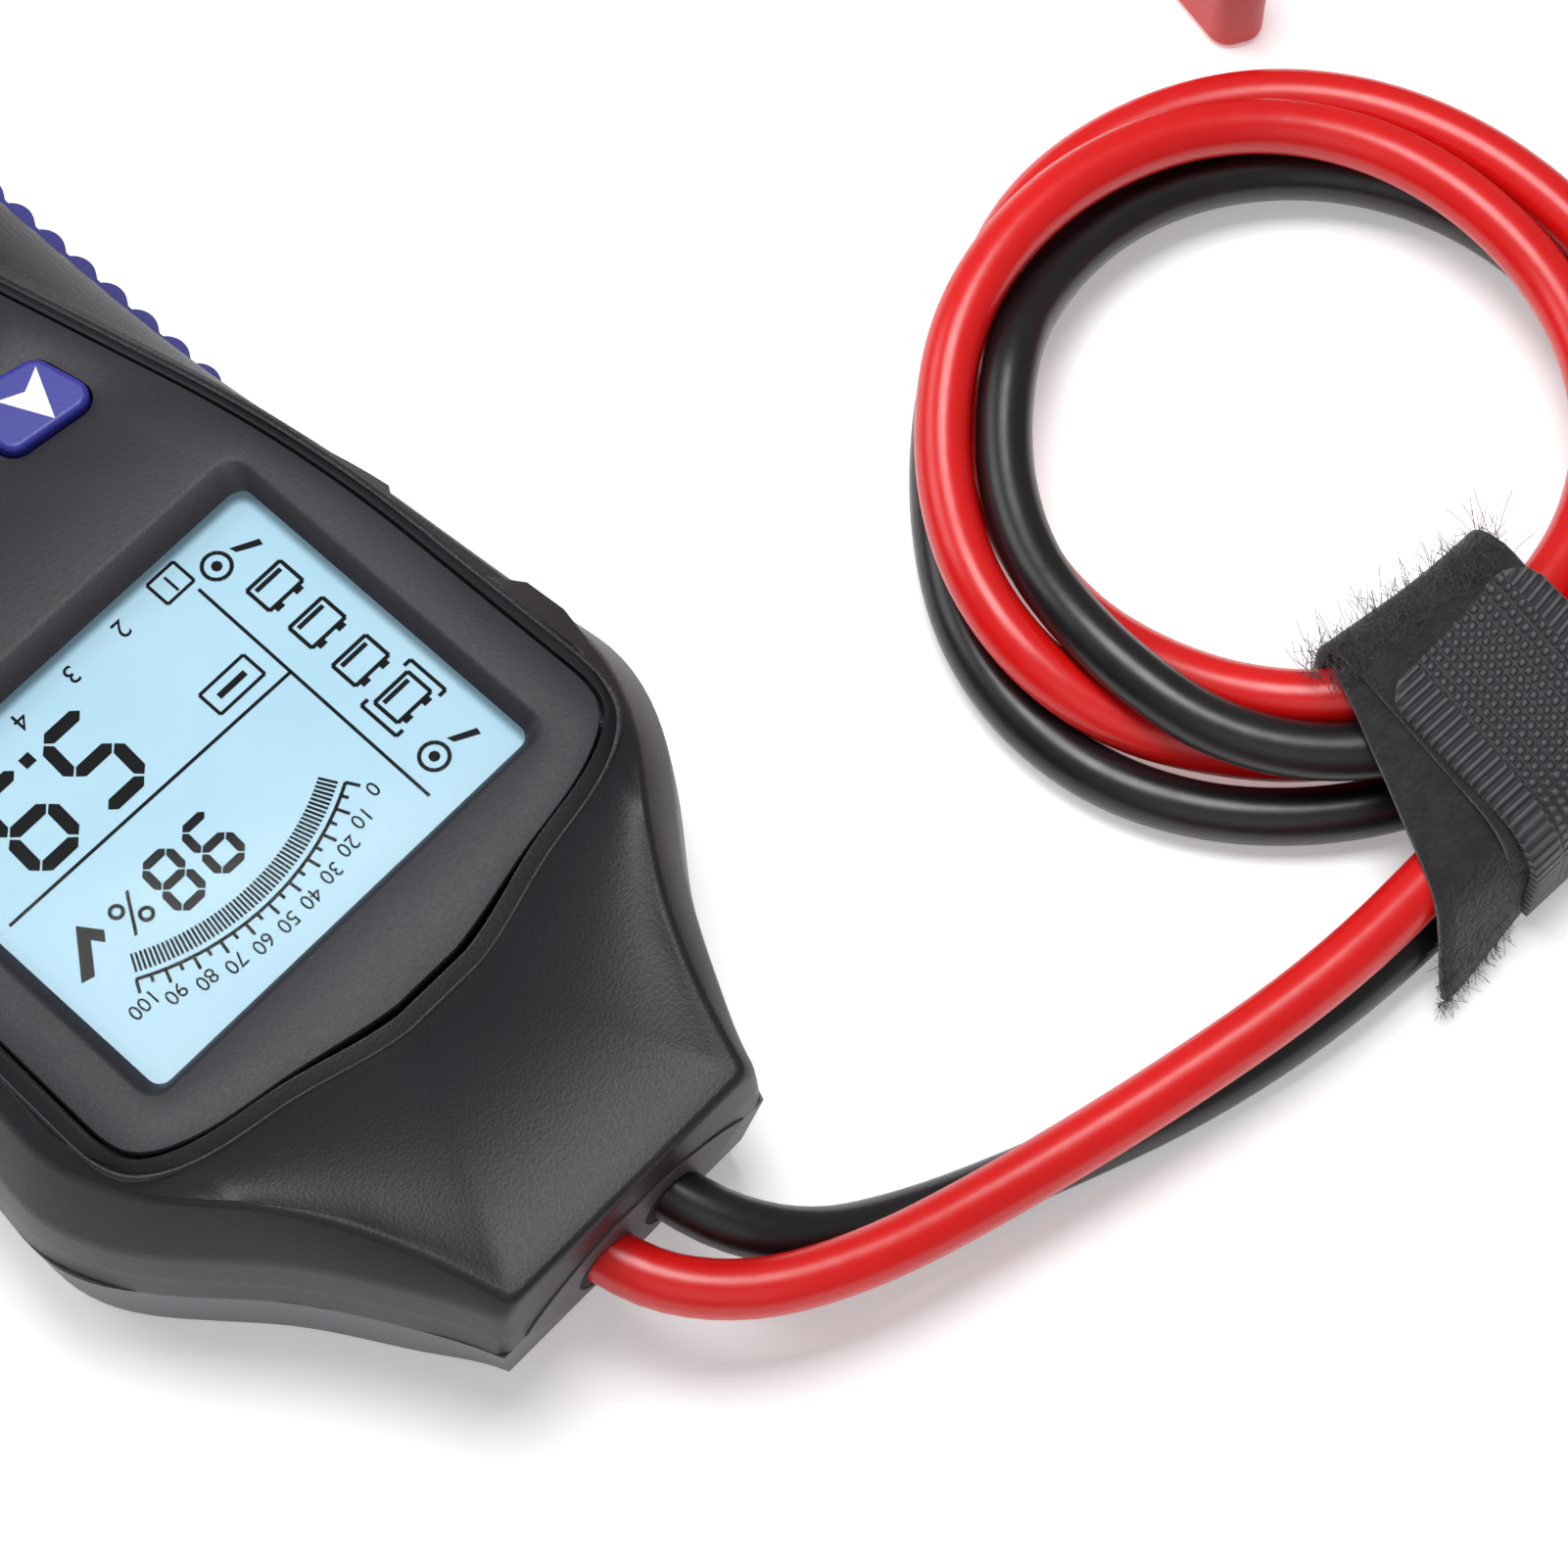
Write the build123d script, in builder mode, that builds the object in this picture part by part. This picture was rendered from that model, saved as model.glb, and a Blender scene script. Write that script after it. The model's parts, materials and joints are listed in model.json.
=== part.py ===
"""Handheld automotive battery tester, lying on its back, with its two test leads coiled beside it.

Millimetres. +Z points up out of the display, +Y runs along the case towards the leads, and the
origin is under the middle of the case, on the surface that the tester lies on.
"""

import os
from math import cos, pi, radians, sin, tan

from build123d import *

os.makedirs("parts", exist_ok=True)

# ---- Case ----
NOSE_Y = 91.2  # end face that the leads come out of
TAIL_Y = -92.0
HEAD_HALF = 41.0
HANDLE_HALF = 34.9
NOSE_HALF = 18.1
WALL = 2.2
FLOOR_Z = 0.0
FOOT_Z = 4.0
SEAM_Z = 15.0
FACET_Z = 24.0
RIDGE_Z = 31.5
TOP_Z = 34.2
INNER_TOP_Z = 31.6
FOOT_INSET = 5.5
BOSS_Z = SEAM_Z + 1.0
BOSS_R = 3.4
BOARD_BOSS_R = 2.8
SCREW_BITE = 6.5
BOARD_SCREW_BITE = 5.0
CLAMP_BAR_Y = 74.0
CLAMP_SCREW_X = 13.0

# ---- Face panel, display and keys ----
PANEL_THICK = 1.6
PANEL_TOP_Z = 34.8
PANEL_GROOVE = 0.5
WINDOW_W = 50.0
WINDOW_H = 40.0
WINDOW_Y = 34.0
WINDOW_CORNER = 1.5
LENS_MARGIN = 1.8
LENS_THICK = 1.2
BOARD_TOP_Z = 23.6
BOARD_THICK = 1.6
KEY_TOP_Z = 36.0
KEY_TRAVEL = 0.8
KEY_FLANGE = 1.4
KEY_FLANGE_GROW = 0.85
KEY_GAP = 0.35
KEY_REST_GAP = 0.1
KEY_POST_R = 2.0
KEY_POST_GAP = 0.05  # left between post and switch at the end of the travel
SWITCH_TOP_Z = 27.4
PAD_CORNER = 3.0
WING_X = 16.6
WING_Y = -7.2
ENTER_Y = -11.0
BACK_Y = -27.0

# ---- Grips ----
GRIP_TOP_Y = 0.0
GRIP_PITCH = 4.6
GRIP_SCALLOPS = 13
GRIP_PROUD = 0.9
GRIP_DEPTH = 1.6
GRIP_RIB_R = 2.6
GRIP_LOW_Z = 9.0
GRIP_HIGH_Z = 22.5

# ---- Lead plate ----
PLATE_HALF = 15.0
PLATE_HIGH = 5.6
PLATE_THICK = 3.0
PLATE_Z = 15.5
LEAD_X = 4.55
LEAD_Z = 14.4

# ---- Leads ----
CORD_D = 6.0
CORD_R = CORD_D / 2
COIL_X = -111.5
COIL_Y = 79.0
COIL_MID_R = 35.5
COIL_IN_R = 28.5
COIL_OUT_R = 42.5
COIL_LAYER = 5.9
COIL_EDGE_R = 2.2
COIL_LEAD = 29.0
BLACK_COIL_Z = 4.7
RED_COIL_Z = 11.0
STRAP_THICK = 1.4
STRAP_OUTER_CORNER = 6.0
STRAP_INNER_CORNER = 2.0
STRAP_WIDTH = 19.5
STRAP_MID = (-100.0, 116.2)
STRAP_HEADING = 170.0
STRAP_INNER_V = (-12.0, 14.6)
STRAP_HIGH = 16.0

# ---- Clamps ----
CLAMP_HIGH = 16.0
CLAMP_JAW = 36.0
CLAMP_HANDLE = 45.0
CLAMP_SPREAD = 17.5
CLAMP_HEADING = 275.0
RED_PIVOT = (-163.5, -8.1)
BLACK_PIVOT = (-213.5, -6.1)
PIN_R = 1.5
PIN_RUNNING = 0.05  # radial clearance in the lever that turns
SPRING_LEG_SLOPE = 0.3  # sideways rise along the handle, near that of its inner face
EAR_R = 4.6
EAR_CLEAR_R = 5.4


def save(builder, name):
    """Label one finished piece and write its STEP file."""
    builder.part.label = name
    export_step(builder.part, f"parts/{name}.step")


def case_outline(z, inset=0.0):
    """Closed plan outline of the case at height z, drawn inset from the full width."""
    with BuildSketch(Plane.XY.offset(z)) as outline:
        with BuildLine():
            nose = (NOSE_HALF - inset, NOSE_Y - inset)
            shoulder = (HEAD_HALF - inset, 48.0)
            waist = (HANDLE_HALF - inset, 2.0)
            heel = (HANDLE_HALF - inset, -58.0)
            toe = (0, TAIL_Y + inset)
            Spline(nose, (21.8 - inset, 83.0), (28.9 - inset, 71.3), (37.2 - inset, 61.0), shoulder,
                   tangents=[(0.35, -1), (-0.13, -1)])
            Line(shoulder, waist)
            Line(waist, heel)
            Spline(heel, toe, tangents=[(0, -1.2), (-1.2, 0)])
            mirror(about=Plane.YZ)
            Line((-nose[0], nose[1]), nose)
        make_face()
    return outline.sketch


def ridge_outline(z, inset=0.0):
    """Closed plan outline of the raised rim that surrounds the face panel."""
    with BuildSketch(Plane.XY.offset(z)) as outline:
        with BuildLine():
            nose = (15.8 - inset, NOSE_Y - inset)
            shoulder = (37.0 - inset, 48.0)
            waist = (34.3 - inset, 12.0)
            heel = (26.2 - inset, -23.0)
            toe = (0, -66.0 + inset)
            Spline(nose, (19.2 - inset, 81.0), (26.0 - inset, 69.0), (34.0 - inset, 58.6), shoulder,
                   tangents=[(0.3, -1), (-0.07, -1)])
            Line(shoulder, waist)
            Line(waist, heel)
            Spline(heel, toe, tangents=[(-0.25, -1.0), (-1.2, 0)])
            mirror(about=Plane.YZ)
            Line((-nose[0], nose[1]), nose)
        make_face()
    return outline.sketch


def table_outline(z, grow=0.0):
    """Closed plan outline of the flat that carries the face panel, pointed towards the leads."""
    with BuildSketch(Plane.XY.offset(z)) as outline:
        with BuildLine():
            nose = (2.0, 64.8 + grow)
            corner = (30.0 + grow, 59.2 + grow)
            shoulder = (32.3 + grow, 56.5)
            waist = (31.5 + grow, 15.4)
            heel = (23.0 + grow, -19.5)
            toe = (0, -46.0 - grow)
            Spline(nose, corner, shoulder, tangents=[(1, -0.2), (-0.02, -1)])
            Line(shoulder, waist)
            Line(waist, heel)
            Spline(heel, toe, tangents=[(-0.24, -1), (-1.2, 0)])
            mirror(about=Plane.YZ)
            Line((-nose[0], nose[1]), nose)
        make_face()
    return outline.sketch


def nose_cut(drop=0.0):
    """Solid above the hollow slope between the face panel and the end face."""
    with BuildPart() as cut:
        with BuildSketch(Plane.YZ):
            with BuildLine():
                high = 45.0
                Spline((62.0, 36.0 - drop), (67.0, 33.0 - drop), (75.0, 28.9 - drop), (84.0, 27.0 - drop),
                       (NOSE_Y + 3, 26.3 - drop))
                Polyline((NOSE_Y + 3, 26.3 - drop), (NOSE_Y + 3, high), (62.0, high), (62.0, 36.0 - drop))
            make_face()
        extrude(amount=HEAD_HALF + 10, both=True)
    return cut.part


def plate_shape(plane, grow=0.0, depth=PLATE_THICK):
    """Lens-shaped plate of the end face, extruded back from its outer face."""
    with BuildPart() as shape:
        with BuildSketch(plane):
            with BuildLine():
                half = PLATE_HALF + grow
                high = PLATE_HIGH + grow
                ThreePointArc((-half, 0), (0, high), (half, 0))
                ThreePointArc((half, 0), (0, -high), (-half, 0))
            make_face()
        extrude(amount=-depth)
    return shape.part


NOSE_PLANE = Plane(origin=(0, NOSE_Y + 0.8, PLATE_Z), x_dir=(-1, 0, 0), z_dir=(0, 1, 0))
CASE_SCREWS = [(-34.4, 53.0), (34.4, 53.0), (-25.0, -56.0), (25.0, -56.0)]
BOARD_SCREWS = [(-27.5, 4.0), (27.5, 4.0), (-20.0, -38.0), (20.0, -38.0)]
CLAMP_SCREWS = [(-CLAMP_SCREW_X, CLAMP_BAR_Y), (CLAMP_SCREW_X, CLAMP_BAR_Y)]
WINGS = {"key_up": -1, "key_down": 1}
PADS = {"key_enter": (ENTER_Y, 13.0, 12.0), "key_back": (BACK_Y, 15.0, 8.0)}
KEY_PLACES = {
    "key_up": (-WING_X, WING_Y),
    "key_down": (WING_X, WING_Y),
    "key_enter": (0.0, ENTER_Y),
    "key_back": (0.0, BACK_Y),
}


# ---- Side grips ----
def grip_sketch(side, base_width):
    """Plan shape of one grip: a straight base and the row of rounded finger ribs outside it."""
    length = GRIP_PITCH * GRIP_SCALLOPS
    middle_y = GRIP_TOP_Y - length / 2
    inner = HANDLE_HALF - GRIP_DEPTH
    with BuildSketch(Plane.XY.offset(GRIP_LOW_Z)) as shape:
        with Locations((side * (HANDLE_HALF + GRIP_PROUD - GRIP_RIB_R), middle_y)):
            with GridLocations(0, GRIP_PITCH, 1, GRIP_SCALLOPS):
                Circle(GRIP_RIB_R)
        with Locations((side * (inner + base_width / 2), middle_y)):
            Rectangle(base_width, length)
        with Locations((side * (inner - 5), middle_y)):
            Rectangle(10, length + 10, mode=Mode.SUBTRACT)
    return shape.sketch


def grip(side):
    """Rubber grip set into one side of the case."""
    with BuildPart() as piece:
        add(grip_sketch(side, GRIP_DEPTH))
        extrude(amount=GRIP_HIGH_Z - GRIP_LOW_Z)
    return piece


def grip_pocket(side):
    """Space in the shells that one grip fills, open to the outside."""
    with BuildPart() as piece:
        add(grip_sketch(side, GRIP_DEPTH + 8))
        extrude(amount=GRIP_HIGH_Z - GRIP_LOW_Z)
    return piece.part


# ---- Shells ----
def panel_outline(z, thick, inset=0.0):
    """Plate of the face panel's outline, drawn inset, from height z upwards."""
    with BuildPart() as plate:
        add(table_outline(z, -inset))
        extrude(amount=thick)
    return plate.part


def wing_sketch(z, side, grow=0.0):
    """Plan shape of one wing key, whose ends slope down towards the middle of the panel."""
    with BuildSketch(Plane.XY.offset(z)) as wing:
        with BuildLine():
            Polyline(
                (side * (WING_X + 5.7 + grow), WING_Y + 4.9 + grow),
                (side * (WING_X + 3.9 + grow), WING_Y - 3.1 - grow),
                (side * (WING_X - 5.6 - grow), WING_Y - 5.5 - grow),
                (side * (WING_X - 5.6 - grow), WING_Y + 3.4 + grow),
                close=True,
            )
        make_face()
        fillet(wing.vertices(), 2.0 + grow)
    return wing.sketch


def key_outline(name, z, grow=0.0):
    """Plan shape of one key at height z."""
    if name in WINGS:
        return wing_sketch(z, WINGS[name], grow)
    y, width, depth = PADS[name]
    with BuildSketch(Plane.XY.offset(z)) as pad:
        with Locations((0, y)):
            RectangleRounded(width + 2 * grow, depth + 2 * grow, PAD_CORNER + grow)
    return pad.sketch


def key_sketch(z, grow=0.0):
    """Plan shapes of all four keys at height z: two wings, enter between them and back below."""
    with BuildSketch(Plane.XY.offset(z)) as shapes:
        for name in KEY_PLACES:
            add(key_outline(name, z, grow))
    return shapes.sketch


with BuildPart() as top_hollow:
    loft([case_outline(SEAM_Z, WALL), case_outline(FACET_Z - 1, WALL + 0.8)], ruled=True)
    loft([case_outline(FACET_Z - 1, WALL + 0.8), ridge_outline(30.0, 3.4)], ruled=True)
    add(panel_outline(26.0, INNER_TOP_Z - 26.0, 0.2))
    add(nose_cut(WALL + 0.3), mode=Mode.SUBTRACT)
    # The screw bosses are left standing in the hollow, so each one joins the wall above it.
    with BuildSketch(Plane.XY.offset(BOSS_Z)):
        with Locations(*CASE_SCREWS):
            Circle(BOSS_R)
    extrude(amount=TOP_Z - BOSS_Z, mode=Mode.SUBTRACT)
    with BuildSketch(Plane.XY.offset(BOARD_TOP_Z)):
        with Locations(*BOARD_SCREWS):
            Circle(BOARD_BOSS_R)
    extrude(amount=TOP_Z - BOARD_TOP_Z, mode=Mode.SUBTRACT)

with BuildPart() as top_shell:
    loft([case_outline(SEAM_Z), case_outline(FACET_Z, 0.8)], ruled=True)
    loft([case_outline(FACET_Z, 0.8), ridge_outline(RIDGE_Z)], ruled=True)
    loft([ridge_outline(RIDGE_Z), table_outline(TOP_Z, PANEL_GROOVE)], ruled=True)
    add(nose_cut(), mode=Mode.SUBTRACT)
    add(top_hollow.part, mode=Mode.SUBTRACT)
    with BuildSketch(Plane.XY.offset(BOSS_Z)):
        with Locations(*CASE_SCREWS):
            Circle(1.2)
    extrude(amount=SCREW_BITE, mode=Mode.SUBTRACT)
    with BuildSketch(Plane.XY.offset(BOARD_TOP_Z)):
        with Locations(*BOARD_SCREWS):
            Circle(0.9)
    extrude(amount=BOARD_SCREW_BITE, mode=Mode.SUBTRACT)
    add(panel_outline(PANEL_TOP_Z - PANEL_THICK, 5.0), mode=Mode.SUBTRACT)
    with BuildSketch(Plane.XY.offset(INNER_TOP_Z - 4)):
        with Locations((0, WINDOW_Y)):
            RectangleRounded(WINDOW_W + 2 * LENS_MARGIN + 0.4, WINDOW_H + 2 * LENS_MARGIN + 0.4, 2.0)
        add(key_sketch(INNER_TOP_Z - 4, KEY_GAP))
    extrude(amount=10.0, mode=Mode.SUBTRACT)
    add(plate_shape(NOSE_PLANE, depth=6.0), mode=Mode.SUBTRACT)
    for side in (-1, 1):
        add(grip_pocket(side), mode=Mode.SUBTRACT)

with BuildPart() as bottom_hollow:
    floor = case_outline(FLOOR_Z + WALL, FOOT_INSET + WALL - 0.5)
    loft([floor, case_outline(FOOT_Z + 1, WALL + 1.2)], ruled=True)
    loft([case_outline(FOOT_Z + 1, WALL + 1.2), case_outline(SEAM_Z, WALL)], ruled=True)

with BuildPart() as bottom_shell:
    loft([case_outline(FLOOR_Z, FOOT_INSET), case_outline(FOOT_Z, 1.6)], ruled=True)
    loft([case_outline(FOOT_Z, 1.6), case_outline(SEAM_Z)], ruled=True)
    add(bottom_hollow.part, mode=Mode.SUBTRACT)
    with BuildSketch(Plane.XY.offset(1.0)):
        with Locations(*CASE_SCREWS):
            Circle(3.9)
    extrude(amount=SEAM_Z)
    with BuildSketch(Plane.XY):
        with Locations(*CASE_SCREWS):
            Circle(2.9)
    extrude(amount=9.0, mode=Mode.SUBTRACT)
    with BuildSketch(Plane.XY):
        with Locations(*CASE_SCREWS):
            Circle(1.6)
    extrude(amount=SEAM_Z + 2, mode=Mode.SUBTRACT)
    with BuildSketch(Plane.XY.offset(1.0)):
        with Locations(*CLAMP_SCREWS):
            Circle(3.2)
    extrude(amount=LEAD_Z - CORD_R - 1.2)
    with BuildSketch(Plane.XY.offset(6.0)):
        with Locations(*CLAMP_SCREWS):
            Circle(1.1)
    extrude(amount=12.0, mode=Mode.SUBTRACT)
    add(plate_shape(NOSE_PLANE, depth=6.0), mode=Mode.SUBTRACT)
    for side in (-1, 1):
        add(grip_pocket(side), mode=Mode.SUBTRACT)

# ---- Face panel ----
with BuildPart() as front_panel:
    add(panel_outline(PANEL_TOP_Z - PANEL_THICK, PANEL_THICK, 0.1))
    fillet(front_panel.faces().sort_by(Axis.Z)[-1].edges(), 0.3)
    with BuildSketch(Plane.XY.offset(PANEL_TOP_Z - PANEL_THICK)):
        with Locations((0, WINDOW_Y)):
            RectangleRounded(WINDOW_W, WINDOW_H, WINDOW_CORNER)
        add(key_sketch(PANEL_TOP_Z - PANEL_THICK, KEY_GAP))
    extrude(amount=PANEL_THICK + 1, mode=Mode.SUBTRACT)
    with BuildSketch(Plane.XY.offset(PANEL_TOP_Z)):
        with Locations((0, WINDOW_Y - 0.6)):
            RectangleRounded(WINDOW_W + 2.6, WINDOW_H + 3.4, WINDOW_CORNER + 1)
    extrude(amount=-1.0, taper=40, mode=Mode.SUBTRACT)

# ---- Display ----
LENS_Z = PANEL_TOP_Z - PANEL_THICK - LENS_THICK
GLASS_Z = 28.6
GLASS_THICK = 2.8
FRAME_W = 60.0
FRAME_H = 47.0
FRAME_Z = 26.0

with BuildPart() as display_lens:
    with BuildSketch(Plane.XY.offset(LENS_Z)):
        with Locations((0, WINDOW_Y)):
            RectangleRounded(WINDOW_W + 2 * LENS_MARGIN, WINDOW_H + 2 * LENS_MARGIN, 1.8)
    extrude(amount=LENS_THICK)

with BuildPart() as display_glass:
    with BuildSketch(Plane.XY.offset(GLASS_Z)):
        with Locations((0, WINDOW_Y)):
            Rectangle(FRAME_W - 4.4, FRAME_H - 4)
    extrude(amount=1.1)
    with BuildSketch(Plane.XY.offset(GLASS_Z + 1.1)):
        with Locations((0, WINDOW_Y - 0.6)):
            Rectangle(FRAME_W - 4.4, FRAME_H - 5.2)
    extrude(amount=1.1)

with BuildPart() as display_frame:
    with BuildSketch(Plane.XY.offset(FRAME_Z)):
        with Locations((0, WINDOW_Y)):
            RectangleRounded(FRAME_W, FRAME_H, 1.5)
    extrude(amount=INNER_TOP_Z - 0.6 - FRAME_Z)
    with BuildSketch(Plane.XY.offset(FRAME_Z)):
        with Locations((0, WINDOW_Y)):
            Rectangle(FRAME_W - 4.0, FRAME_H - 3.6)
    extrude(amount=GLASS_Z + GLASS_THICK - 0.6 - FRAME_Z, mode=Mode.SUBTRACT)
    with BuildSketch(Plane.XY.offset(FRAME_Z)):
        with Locations((0, WINDOW_Y)):
            Rectangle(WINDOW_W + 1.4, WINDOW_H + 1.4)
    extrude(amount=8, mode=Mode.SUBTRACT)
    with BuildSketch(Plane.XY.offset(FRAME_Z)):
        with Locations((0, WINDOW_Y)):
            with GridLocations(FRAME_W - 8, FRAME_H - 2.3, 2, 2):
                Rectangle(3.0, 1.6)
    extrude(amount=BOARD_TOP_Z - FRAME_Z)

with BuildPart() as backlight:
    with BuildSketch(Plane.XY.offset(FRAME_Z + 0.1)):
        with Locations((0, WINDOW_Y)):
            Rectangle(FRAME_W - 4.8, FRAME_H - 4.4)
    extrude(amount=GLASS_Z - 0.2 - FRAME_Z)

with BuildPart() as display_strip:
    with BuildSketch(Plane.XY.offset(BOARD_TOP_Z)):
        with Locations((0, WINDOW_Y + FRAME_H / 2 + 2.2)):
            Rectangle(46.0, 2.2)
    extrude(amount=6.0)

# ---- Circuit board and what is on it ----
with BuildPart() as main_board:
    with BuildSketch(Plane.XY.offset(BOARD_TOP_Z - BOARD_THICK)):
        with BuildLine():
            half = 31.5
            Polyline((20.0, 72.0), (half, 56.0), (half, 0.0), (26.0, -44.0), close=False)
            mirror(about=Plane.YZ)
            Line((-20.0, 72.0), (20.0, 72.0))
            Line((-26.0, -44.0), (26.0, -44.0))
        make_face()
        with Locations(*BOARD_SCREWS):
            Circle(1.3, mode=Mode.SUBTRACT)
        with Locations(*CASE_SCREWS[:2]):
            Circle(4.2, mode=Mode.SUBTRACT)
    extrude(amount=BOARD_THICK)

BOARD_UNDER_Z = BOARD_TOP_Z - BOARD_THICK


def under_board(width, depth, high, corner, *places):
    """Block-shaped components that hang from the underside of the board."""
    with BuildPart() as blocks:
        with BuildSketch(Plane.XY.offset(BOARD_UNDER_Z)):
            with Locations(*places):
                RectangleRounded(width, depth, corner)
        extrude(amount=-high)
    return blocks


controller = under_board(12.0, 12.0, 1.6, 0.4, (0.0, 22.0))
measuring_amp = under_board(5.0, 6.2, 1.7, 0.3, (-14.0, 34.0), (14.0, 34.0))
clock_crystal = under_board(11.0, 4.6, 3.6, 2.2, (0.0, 34.0))
load_resistors = under_board(25.0, 6.4, 6.4, 0.4, (0.0, 48.0), (0.0, 57.0))
cord_terminals = under_board(5.0, 7.0, 3.2, 0.4, (-4.55, 67.5), (4.55, 67.5))

with BuildPart() as load_switch:
    with BuildSketch(Plane.XY.offset(BOARD_UNDER_Z)):
        with Locations((-23.0, 22.0), (23.0, 22.0)):
            Rectangle(10.0, 15.0)
    extrude(amount=-4.4)
    with BuildSketch(Plane.XY.offset(BOARD_UNDER_Z)):
        with Locations((-23.0, 30.5), (23.0, 30.5)):
            Rectangle(10.0, 5.0)
    extrude(amount=-1.3)

with BuildPart() as heat_sink:
    with BuildSketch(Plane.XY.offset(BOARD_UNDER_Z - 4.4)):
        with Locations((-23.0, 24.0), (23.0, 24.0)):
            Rectangle(12.0, 22.0)
    extrude(amount=-2.0)
    with BuildSketch(Plane.XY.offset(BOARD_UNDER_Z - 6.4)):
        for side in (-1, 1):
            with Locations((side * 23.0, 24.0)):
                with GridLocations(2.6, 22.0, 5, 1):
                    Rectangle(1.0, 22.0)
    extrude(amount=-6.0)

with BuildPart() as capacitors:
    with BuildSketch(Plane.XY.offset(BOARD_UNDER_Z)):
        with Locations((-12.0, 2.0), (12.0, 2.0)):
            Circle(5.0)
    extrude(amount=-11.5)
    fillet(capacitors.faces().sort_by(Axis.Z)[:2].edges(), 0.6)

with BuildPart() as buzzer:
    with BuildSketch(Plane.XY.offset(BOARD_UNDER_Z)):
        with Locations((0.0, -22.0)):
            Circle(6.0)
    extrude(amount=-7.5)
    with BuildSketch(Plane.XY.offset(BOARD_UNDER_Z - 7.5)):
        with Locations((0.0, -22.0)):
            Circle(1.2)
    extrude(amount=2.0, mode=Mode.SUBTRACT)

with BuildPart() as key_switches:
    with BuildSketch(Plane.XY.offset(BOARD_TOP_Z)):
        with Locations(*KEY_PLACES.values()):
            RectangleRounded(6.0, 6.0, 0.6)
    extrude(amount=2.6)
    with BuildSketch(Plane.XY.offset(BOARD_TOP_Z + 2.6)):
        with Locations(*KEY_PLACES.values()):
            Circle(1.7)
    extrude(amount=SWITCH_TOP_Z - BOARD_TOP_Z - 2.6)

# ---- Keys ----
def rubber_key(name):
    """One key: cap, the flange that holds it under the shell, and the post above its switch."""
    flange_z = INNER_TOP_Z - KEY_REST_GAP - KEY_FLANGE
    cap_z = flange_z + KEY_FLANGE
    post_z = SWITCH_TOP_Z + KEY_TRAVEL + KEY_POST_GAP
    with BuildPart() as key:
        add(key_outline(name, cap_z))
        extrude(amount=KEY_TOP_Z - cap_z)
        fillet(key.faces().sort_by(Axis.Z)[-1].edges(), 0.7)
        with BuildSketch(Plane.XY.offset(flange_z)):
            add(key_outline(name, flange_z, KEY_FLANGE_GROW))
        extrude(amount=KEY_FLANGE)
        with BuildSketch(Plane.XY.offset(post_z)):
            with Locations(KEY_PLACES[name]):
                Circle(KEY_POST_R)
        extrude(amount=flange_z + 0.2 - post_z)
    return key


key_up = rubber_key("key_up")
key_down = rubber_key("key_down")
key_enter = rubber_key("key_enter")
key_back = rubber_key("key_back")

# ---- Lead plate, clamp bar and screws ----
with BuildPart() as lead_clamp:
    with BuildSketch(Plane.XY.offset(LEAD_Z - CORD_R - 0.2)):
        with Locations((0.0, CLAMP_BAR_Y)):
            RectangleRounded(32.4, 6.4, 2.0)
    extrude(amount=CORD_R * 2 + 1.4)
    with BuildSketch(Plane.XZ.offset(-60)):
        with Locations((-LEAD_X, LEAD_Z), (LEAD_X, LEAD_Z)):
            Circle(CORD_R)
    extrude(amount=-30, mode=Mode.SUBTRACT)
    with BuildSketch(Plane.XY):
        with Locations(*CLAMP_SCREWS):
            Circle(1.5)
    extrude(amount=30, mode=Mode.SUBTRACT)


def screws(places, base_z, length, shank_r, head_r, head_high, up=True):
    """A set of identical pan-head screws whose heads sit at base_z."""
    way = 1 if up else -1
    with BuildPart() as group:
        with BuildSketch(Plane.XY.offset(base_z)):
            with Locations(*places):
                Circle(head_r)
        extrude(amount=way * head_high)
        with BuildSketch(Plane.XY.offset(base_z + way * head_high)):
            with Locations(*places):
                Circle(shank_r)
        extrude(amount=way * length)
        with BuildSketch(Plane.XY.offset(base_z)):
            with Locations(*places):
                Rectangle(0.6, head_r * 1.2)
                Rectangle(head_r * 1.2, 0.6)
        extrude(amount=way * head_high * 0.5, mode=Mode.SUBTRACT)
    return group


case_screws = screws(CASE_SCREWS, 7.0, 13.5, 1.15, 2.6, 2.0)
board_screws = screws(BOARD_SCREWS, BOARD_UNDER_Z - 1.6, 5.5, 0.85, 2.0, 1.6)
clamp_screws = screws(CLAMP_SCREWS, LEAD_Z + CORD_R + 2.8, 11.0, 1.05, 2.4, 1.6, up=False)

# ---- Leads: the stretches that are not coiled ----
RED_RUN = [
    (LEAD_X, 81.0, LEAD_Z),
    (LEAD_X, 92.2, LEAD_Z - 0.1),
    (-1.8, 102.6, 13.3),
    (-13.2, 109.2, 12.2),
    (-28.0, 113.6, 10.8),
    (-47.0, 118.4, 10.6),
    (-67.0, 122.4, 11.0),
    (-86.0, 121.8, 11.0),
]
BLACK_RUN = [
    (-LEAD_X, 80.8, LEAD_Z),
    (-LEAD_X, 92.0, LEAD_Z - 0.3),
    (-10.8, 102.6, 9.9),
    (-21.8, 107.8, 4.2),
    (-36.0, 113.8, 3.2),
    (-52.0, 119.8, 3.3),
    (-68.5, 123.4, 4.7),
    (-86.0, 122.4, 4.7),
]
RED_TAIL = [
    (-153.8, 97.4, 11.0),
    (-166.2, 92.4, 11.0),
    (-176.4, 84.8, 9.4),
    (-184.4, 71.8, 8.0),
    (-186.72, 56.52, 8.0),
    (-185.47, 42.18, 8.0),
]
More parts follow.
